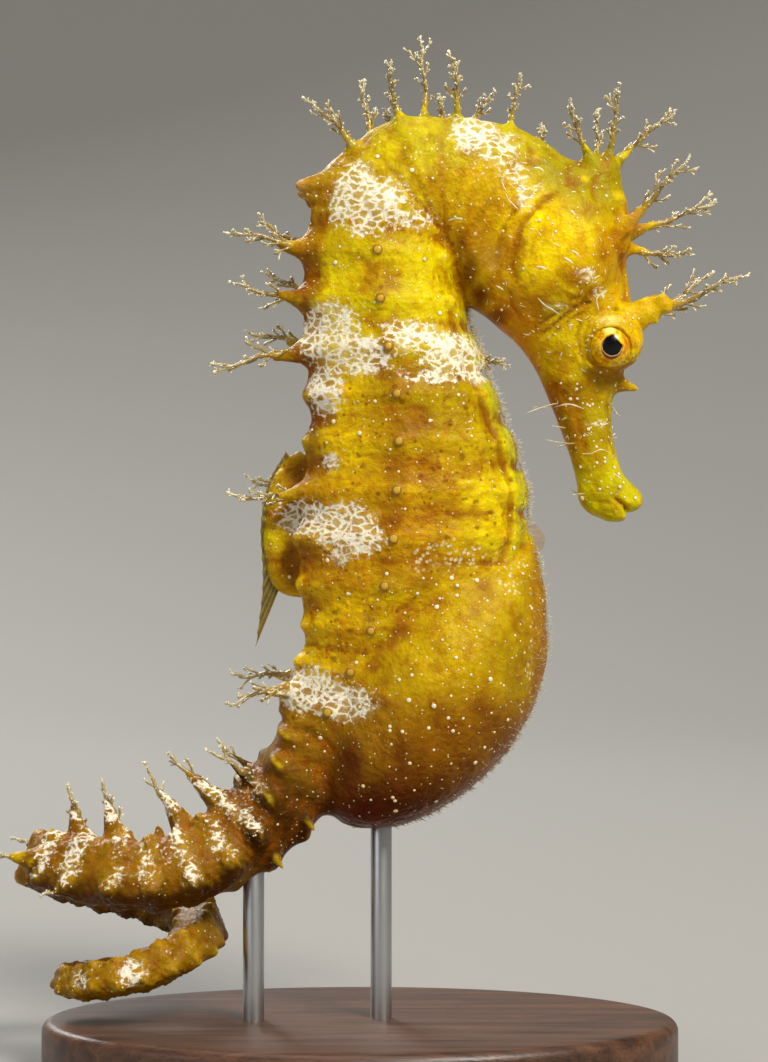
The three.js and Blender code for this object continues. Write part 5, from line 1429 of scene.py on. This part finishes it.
# Short pale dashes strewn over the head and neck, 0.2 to 0.5 mm long.
dash_at = np.stack([rnd.uniform(8, 21.5, DASH_COUNT), rnd.uniform(50, 79, DASH_COUNT)], 1)
dash_turn, dash_long = rnd.uniform(0, np.pi, DASH_COUNT), rnd.uniform(0.1, 0.26, DASH_COUNT)
dash_way = np.stack([np.cos(dash_turn), np.sin(dash_turn)], 1) * dash_long[:, None]
dashes = np.stack([dash_at - dash_way, dash_at + 0.15 * dash_way[:, ::-1], dash_at + dash_way], 1)
pimples = join([
    domes(centres, facing, sizes, 0.5), laid_lines(SCRIBBLES, 0.085, 0.9),
    laid_lines(dashes, 0.062, 0.85),
])
coat_piece("pimples", pimples, pimple_skin("pale_skin_pimple", "8a5200", "c89a3c", "ecdfb6"))

# A tan knob on each ring's side ridge, and a low dark foot round it.
knob_places = knobs[(knobs[:, 4] > 0) & (knobs[:, 0] > -4)]
knob_at, knob_facing = on_skin(knob_places[:, [0, 2]], np.sign(knob_places[:, 1]))
kept = np.isfinite(knob_at).all(1) & (np.abs(knob_at - knob_places[:, :3]).max(1) < 1.2)
knob_at, knob_facing = knob_at[kept], knob_facing[kept]
ring_knobs = join([
    domes(knob_at, knob_facing, rnd.uniform(0.26, 0.34, len(knob_at)), 0.28, 7, 14),
    domes(knob_at, knob_facing, np.full(len(knob_at), 0.43), 0.07, 4, 16, 0.0),
])
coat_piece("ring_knobs", ring_knobs, pimple_skin("tan_skin_knob", "a46a00", "be8e08", "cea61a"))

FILAMENT = filament_skin()
for name, groups, twigs in (
        ("filaments_head", ("crown", "face"), 9), ("filaments_nape", ("nape",), 10),
        ("filaments_back", ("back", "chest"), 9), ("filaments_tail", ("tail",), 5)):
    fronds = [frond for group in groups for frond in FRONDS[group]]
    coat_piece(name, frond_set(fronds, twigs, len(name)), FILAMENT)


def hairs(roots, ways, sizes, thick, seed):
    """Fine hairs: each is root + size (u way + u^2 bend), tapering to a third of its thickness."""
    rnd = np.random.default_rng(seed)
    u = np.linspace(0, 1, 5)
    bend = rnd.normal(0, 0.25, (len(roots), 1, 3))
    paths = u[:, None] * ways[:, None] + (u**2)[:, None] * bend
    paths = roots[:, None] + sizes[:, None, None] * paths
    radii = thick * (1 - 0.65 * u)[None] * np.ones((len(roots), 1))
    return knobbly(paths, radii, 4, roots, np.broadcast_to(0.6 + 0.4 * u, (len(roots), 5)))


# Fuzz along the keel and the pouch's rim.
rnd = np.random.default_rng(3)
keel_t = rnd.uniform(24.5, 31.2, KEEL_HAIRS)
keel_q = 8 - np.abs(rnd.normal(0, 0.16, KEEL_HAIRS))
keel_root = body_points(keel_t, keel_q * rnd.choice([-1, 1], KEEL_HAIRS))
keel_way = unit(np.stack([
    np.ones(KEEL_HAIRS), rnd.normal(0, 0.25, KEEL_HAIRS), rnd.normal(0.0, 0.4, KEEL_HAIRS)], 1))
rim = spline(POUCH, rnd.uniform(0.3, 7.6, RIM_HAIRS))
rim_turn = rnd.normal(0, 0.35, RIM_HAIRS)
rim_middle, rim_reach = (rim[:, 0:2] + rim[:, 2:4]) / 2, (rim[:, 2:4] - rim[:, 0:2]) / 2
rim_xz = rim_middle + rim_reach * np.cos(rim_turn)[:, None]
rim_root = from_xz(rim_xz, rim[:, 4] * np.sin(rim_turn))
rim_way = unit(np.stack([np.ones(RIM_HAIRS), rim_turn, rnd.normal(-0.1, 0.35, RIM_HAIRS)], 1))
fuzz = join([
    hairs(keel_root, keel_way, rnd.uniform(0.25, 0.6, KEEL_HAIRS), 0.03, 5),
    hairs(rim_root, rim_way, rnd.uniform(0.2, 0.5, RIM_HAIRS), 0.03, 6),
])
coat_piece("fuzz", fuzz, FILAMENT)

snout_root, snout_tip = (
    np.array([(hair[end][0], sign * out, hair[end][1]) for hair in SNOUT_HAIRS for sign, _ in SIDES])
    for end, out in ((0, 1.3), (1, 1.9)))
snout_long = 0.85 * np.linalg.norm(snout_tip - snout_root, axis=1)
snout_hairs = hairs(snout_root, unit(snout_tip - snout_root), snout_long, 0.085, 8)
coat_piece("snout_hairs", snout_hairs, FILAMENT)


# ---- fins -----------------------------------------------------------------------------------------

FIN_ROWS = 18


def fin_skin(name, dark, light, solid=1.0):
    """Fin membrane: two thin wet skins over bony rays. Olive and see-through between pale rays, with
    cloudy patches about 0.6 mm across."""
    material, tree, shader = new_material(name)
    ray = node(tree, "Attribute", out="Fac", attribute_name="ray")
    where = mm_coordinates(tree)
    tint = node(tree, "Mix", {0: ray, 6: rgba(dark), 7: rgba(light)}, 2, data_type="RGBA")
    patch = node(tree, "TexNoise", {"Vector": where, "Scale": 1.6, "Detail": 4.0})
    shade = node(tree, "MapRange", (patch, 0.35, 0.65, 0.75, 1.15))
    fill(shader, {
        "Base Color": node(tree, "VectorMath", {"Vector": tint, "Scale": shade}, operation="SCALE"),
        "Alpha": solid, "Roughness": 0.28 + 0.3 * (solid < 1), "Specular IOR Level": 0.3 * solid,
        "Subsurface Weight": 0.3, "Subsurface Radius": (1.0, 0.7, 0.2), "Subsurface Scale": 0.0006,
        "Coat Weight": 0.4 * solid, "Coat Roughness": 0.15,
        "Normal": node(tree, "Bump", {"Strength": 0.5, "Distance": 0.0001, "Height": patch}),
    })
    return material


def fin_piece(name, foot, edge, rays, thick, material, replaces, wave=0.15, side=0.0, flare=0.0):
    """A rayed fin: a sheet of straight lines from the foot line to the edge line, in x and z. Its
    thickness is thick (1 - 0.6 v) with a rise of a third over every ray, and the sheet waves
    sideways by wave v sin of the way along."""
    u = np.linspace(0, 1, rays * 8 + 1)
    v = np.linspace(0, 1, FIN_ROWS)
    a = spline(np.array(foot, float), u * (len(foot) - 1))
    b = spline(np.array(edge, float), u * (len(edge) - 1))
    ray = (0.5 + 0.5 * np.cos(2 * np.pi * rays * u))[:, None] ** 2 * np.ones(FIN_ROWS)
    xz = a[:, None] + (b - a)[:, None] * v[None, :, None]
    notch = 1 - 0.05 * (1 - ray) * v**6
    xz = a[:, None] + (xz - a[:, None]) * notch[..., None]
    mid = side + wave * v * np.sin(u[:, None] * 9) + flare * v
    half = thick / 2 * (1 - 0.6 * v) * (0.75 + 0.5 * ray)
    rings = np.concatenate([from_xz(xz, mid - half), from_xz(xz, mid + half)[:, ::-1]], 1)[None]
    points, quads, tris = closed(rings)
    mesh = mesh_of(name, points, quads, tris)
    shade = np.concatenate([ray, ray[:, ::-1]], 1).ravel()
    give(mesh, "ray", np.concatenate([shade, [0, 0]]))
    return add_piece(name, mesh, material, replaces)


DORSAL = fin_skin("dorsal_fin_membrane", "6a5410", "93802a")
fin_piece("dorsal_fin_blade", [(-5.6, 51.8), (-6.6, 49.6), (-7.0, 46.6), (-7.0, 43.6), (-6.6, 41.6)],
          [(-6.3, 52.7), (-7.8, 50.0), (-8.45, 46.4), (-8.3, 41.4), (-8.9, 36.0)], 17, 0.55, DORSAL,
          ("dorsal_fin",), 0.3)
CLEAR = fin_skin("pectoral_fin_membrane", "a87c00", "c09410", 0.22)
for sign, word in SIDES:
    fan = np.linspace(2.55, 4.3, 9)
    spokes = np.stack([np.cos(fan), np.sin(fan)], 1)
    fan_foot, fan_edge = (np.array([12.6, 70.2]) + reach * spokes for reach in (0.5, 3.4))
    fin_piece(f"pectoral_fan_{word}", fan_foot, fan_edge, 11, 0.3, CLEAR,
              (f"pectoral_fin_{word}",), 0.08, sign * 4.35, sign * 1.2)
fin_piece("anal_fan", [(13.5, 46.2), (13.8, 45.2), (14.2, 44.2)],
          [(15.0, 46.5), (15.8, 45.4), (15.5, 44.2)], 5, 0.4, CLEAR, ("anal_fin",), 0.05)


# ---- eyes -----------------------------------------------------------------------------------------

def eye_glass():
    """A fish eye: a clear wet lens over a gold iris. Black pupil with a fold of gold hanging over
    its upper edge, a rusty hollow under it, and orange clouds in the gold."""
    material, tree, shader = new_material("wet_gold_eye")
    where = mm_coordinates(tree)
    flat = node(tree, "VectorMath", (where, (1, 0, 1)), **TIMES)
    # Distances from the eye's middle, the fold, a rusty cloud, the painted highlight and the hollow.
    off_middle, off_fold, off_rust, off_painted_highlight, off_hollow = (
        node(tree, "VectorMath", (flat, (EYE[0] + x, 0, EYE[2] + z)), "Value", operation="DISTANCE")
        for x, z in ((0, 0), (0.78, 0.66), (1.25, 0.1), (-0.2, 1.3), (-0.05, -0.30)))
    cloud = node(tree, "TexNoise", {"Vector": where, "Scale": 1.3, "Detail": 3.0, "Roughness": 0.6})
    fleck = node(tree, "TexNoise", {"Vector": where, "Scale": 3.6, "Detail": 5.0, "Roughness": 0.7})
    wobble = node(tree, "Math", (cloud, 0.3, -0.15), **TIMES_PLUS)
    gap = node(tree, "Math", (off_middle, wobble), **PLUS)
    drawn_in = node(tree, "MapRange", (off_fold, 0.70, 0.1, 0, 0.45), **SOFT)
    folded = node(tree, "Math", (gap, drawn_in), **PLUS)
    gold = node(tree, "MapRange", (fleck, 0.38, 0.60, 0, 1), **SOFT)
    colour = node(tree, "Mix", {0: gold, 6: rgba("c88a08"), 7: rgba("f0cc08")}, 2, data_type="RGBA")
    hollow_share = node(tree, "MapRange", (off_hollow, 0.92, 0.80, 0, 1), **SOFT)
    rim_share = node(tree, "MapRange", (folded, 0.93, 0.89, 0, 0.8), **SOFT)
    shares = [(code, node(tree, "MapRange", (value, far, near, 0, most), **SOFT))
              for code, value, far, near, most in (
                  ("c06c06", cloud, 0.50, 0.64, 0.7), ("c46e08", off_rust, 0.75, 0.2, 0.7),
                  # The pale patch above the pupil is a painted highlight.
                  ("fff08c", off_painted_highlight, 0.7, 0.2, 0.75), ("ffd81c", gap, 1.12, 0.95, 0.55),
                  ("a85a08", folded, 0.98, 0.88, 0.8))]
    shares += [
        ("7a3208", hollow_share),
        ("dcc08c", node(tree, "Math", (hollow_share, rim_share), **TIMES)),
        ("040201", node(tree, "MapRange", (folded, 0.86, 0.82, 0, 1), **SOFT)),
    ]
    fill(shader, {
        "Base Color": washed(tree, colour, [(code, share, 1, "MIX") for code, share in shares]),
        "Roughness": 0.25, "Specular IOR Level": 0.2,
        "Coat Weight": 0.35, "Coat Roughness": 0.03, "Coat IOR": 1.34,
    })
    return material


EYE_GLASS = eye_glass()
for sign, word in SIDES:
    down = np.linspace(0.02, np.pi - 0.05, 60)[:, None]
    turn = turns(64)[None]
    across = np.sin(down)
    out = np.cos(down) * np.where(np.cos(down) > 0, 0.82, 1.0)
    ball = [across * np.cos(turn), sign * out * np.ones_like(turn), across * np.sin(turn)]
    ball = EYE_RADIUS * np.stack(ball, -1) + (EYE - (0, 0.05, 0)) * (1, sign, 1)
    mesh = mesh_of(f"eyeball_{word}", *closed(ball[None]))
    add_piece(f"eyeball_{word}", mesh, EYE_GLASS, (f"eye_{word}",))


# ---- stand ----------------------------------------------------------------------------------------

def walnut():
    """Walnut, turned, sanded and oiled: long dark grain lines 1 to 2 mm apart, fine pores and a low
    satin sheen."""
    material, tree, shader = new_material("oiled_walnut")
    where = mm_coordinates(tree)
    stretched = node(tree, "Mapping", {
        "Vector": where, "Scale": (0.06, 0.75, 0.75), "Rotation": (0.0, 0.02, 0.05)})
    grain_lines = node(tree, "TexNoise", {
        "Vector": stretched, "Scale": 1.0, "Detail": 6.0, "Roughness": 0.6, "Distortion": 0.6})
    wood = node(tree, "ValToRGB", (grain_lines,), stops=((0.30, "2a170c"), (0.70, "6d452a")))
    pores = node(tree, "Mapping", {"Vector": where, "Scale": (0.5, 7.0, 7.0)})
    pore = node(tree, "TexNoise", {"Vector": pores, "Scale": 1.0, "Detail": 2.0})
    dark = node(tree, "MapRange", (pore, 0.36, 0.46, 0.55, 1.0))
    fill(shader, {
        "Base Color": node(tree, "VectorMath", {"Vector": wood, "Scale": dark}, operation="SCALE"),
        "Roughness": 0.42, "Coat Weight": 0.15, "Coat Roughness": 0.3,
        "Normal": node(tree, "Bump", {"Strength": 0.4, "Distance": 0.00008, "Height": pore}),
    })
    return material


def drawn_steel():
    """Stainless steel rod, drawn and polished lengthwise: a grey metal with fine streaks along it."""
    material, tree, shader = new_material("drawn_stainless_steel")
    where = mm_coordinates(tree)
    lengthwise = node(tree, "Mapping", {"Vector": where, "Scale": (14.0, 14.0, 0.25)})
    streak = node(tree, "TexNoise", {"Vector": lengthwise, "Scale": 1.0, "Detail": 3.0})
    fill(shader, {
        "Base Color": rgba("b9bbbd"), "Metallic": 1.0,
        "Roughness": node(tree, "MapRange", {"Value": streak, "To Min": 0.22, "To Max": 0.42}),
        "Normal": node(tree, "Bump", {"Strength": 0.3, "Distance": 0.00003, "Height": streak}),
    })
    return material


def base_points():
    """The base: an oval slab. Its profile goes from the middle of the foot out to the rim, up a
    rounded edge and back in over the top, and is carried round the oval."""
    edge, top = BASE["edge"], BASE["height"]
    arc = np.linspace(0, np.pi / 2, 9)
    inset = np.concatenate([[0.35], [0.0], edge * (1 - np.cos(arc)), edge + np.array([1.5, 4, 8, 14])])
    height = np.concatenate([[0.0], [0.35], top - edge + edge * np.sin(arc), [top] * 4])
    turn = turns(128)
    x = (BASE["length"] / 2 - inset)[:, None] * np.cos(turn)
    y = (BASE["width"] / 2 - inset)[:, None] * np.sin(turn)
    return np.stack([x, y, height[:, None] * np.ones_like(turn)], -1)[None]


base_mesh = mesh_of("walnut_base", *closed(base_points()))
add_piece("walnut_base", base_mesh, walnut(), ("stand_base",))
STEEL = drawn_steel()
for name, (x, y, top) in RODS.items():
    z = np.array([BASE["height"] - 2.5, BASE["height"], top - 0.3, top - 0.08, top])
    radii = ROD_RADIUS - np.array([[0, 0, 0, 0.1, 0.3]])
    path = np.stack([np.full(5, x), np.full(5, y), z], 1)[None]
    rod_mesh = mesh_of(name + "_steel", *closed(tubes(path, radii, 40)))
    add_piece(name + "_steel", rod_mesh, STEEL, (name,))

# ---- studio ---------------------------------------------------------------------------------------

def studio_paper():
    """Seamless studio paper: matt, pale and warm, with a faint tooth."""
    material, tree, shader = new_material("studio_paper")
    tooth = node(tree, "TexNoise", {"Vector": mm_coordinates(tree), "Scale": 0.8, "Detail": 3.0})
    fill(shader, {
        "Base Color": rgba("96948f"), "Roughness": 0.9,
        "Normal": node(tree, "Bump", {"Strength": 0.05, "Distance": 0.0001, "Height": tooth}),
    })
    return material


# A round floor that curves up into a wall all round: radius and height of its profile. It lies a
# hair under the stand.
FLOOR_AROUND, FLOOR_DROP = 96, 0.02
arc = np.linspace(0, np.pi / 2, 16)
bowl_r = np.concatenate([[60, 200, 400], 420 + 480 * np.sin(arc), [900]])
bowl_z = np.concatenate([[0, 0, 0], 480 * (1 - np.cos(arc)), [1300]])
turn = turns(FLOOR_AROUND)
bowl = [bowl_r[:, None] * np.cos(turn), bowl_r[:, None] * np.sin(turn)]
bowl = np.stack([*bowl, np.broadcast_to(bowl_z[:, None], bowl[0].shape)], -1).reshape(-1, 3)
grid = np.arange(len(bowl)).reshape(-1, FLOOR_AROUND)
a, b = grid[:-1], grid[1:]
bowl_quads = np.stack([a, b, np.roll(b, -1, 1), np.roll(a, -1, 1)], -1).reshape(-1, 4)
bowl_fan = np.stack([np.full(FLOOR_AROUND, len(bowl)), grid[0], np.roll(grid[0], -1)], -1)
floor_mesh = mesh_of("floor", np.vstack([bowl, (0, 0, 0)]) - (0, 0, FLOOR_DROP), bowl_quads, bowl_fan)
floor_mesh.materials.append(studio_paper())
floor = bpy.data.objects.new("floor", floor_mesh)
bpy.context.scene.collection.objects.link(floor)


def soft_light(name, place, aim, size, watts, code):
    """A square soft box that faces a point."""
    data = bpy.data.lights.new(name, "AREA")
    data.shape = "SQUARE"
    data.size = size * MM
    data.energy = watts
    data.color = linear(code)
    lamp = bpy.data.objects.new(name, data)
    lamp.location = np.array(place) * MM
    way = np.array(place, float) - np.array(aim, float)
    lamp.rotation_euler = (math.atan2(math.hypot(way[0], way[1]), way[2]), 0,
                           math.atan2(way[1], way[0]) + math.pi / 2)
    bpy.context.scene.collection.objects.link(lamp)


soft_light("key", (300, -460, 560), (2, 0, 50), 200, 6.4, "fffaf2")
soft_light("fill", (-520, -420, 220), (0, 0, 45), 460, 0.8, "eef3ff")
soft_light("rim", (-260, 480, 460), (0, 0, 50), 260, 3.2, "ffffff")
soft_light("top", (0, 60, 900), (0, 0, 40), 600, 2.4, "ffffff")

world = bpy.data.worlds.new("studio")
world.use_nodes = True
world.node_tree.nodes["Background"].inputs["Color"].default_value = rgba("e9eaec")
world.node_tree.nodes["Background"].inputs["Strength"].default_value = 0.22
bpy.context.scene.world = world
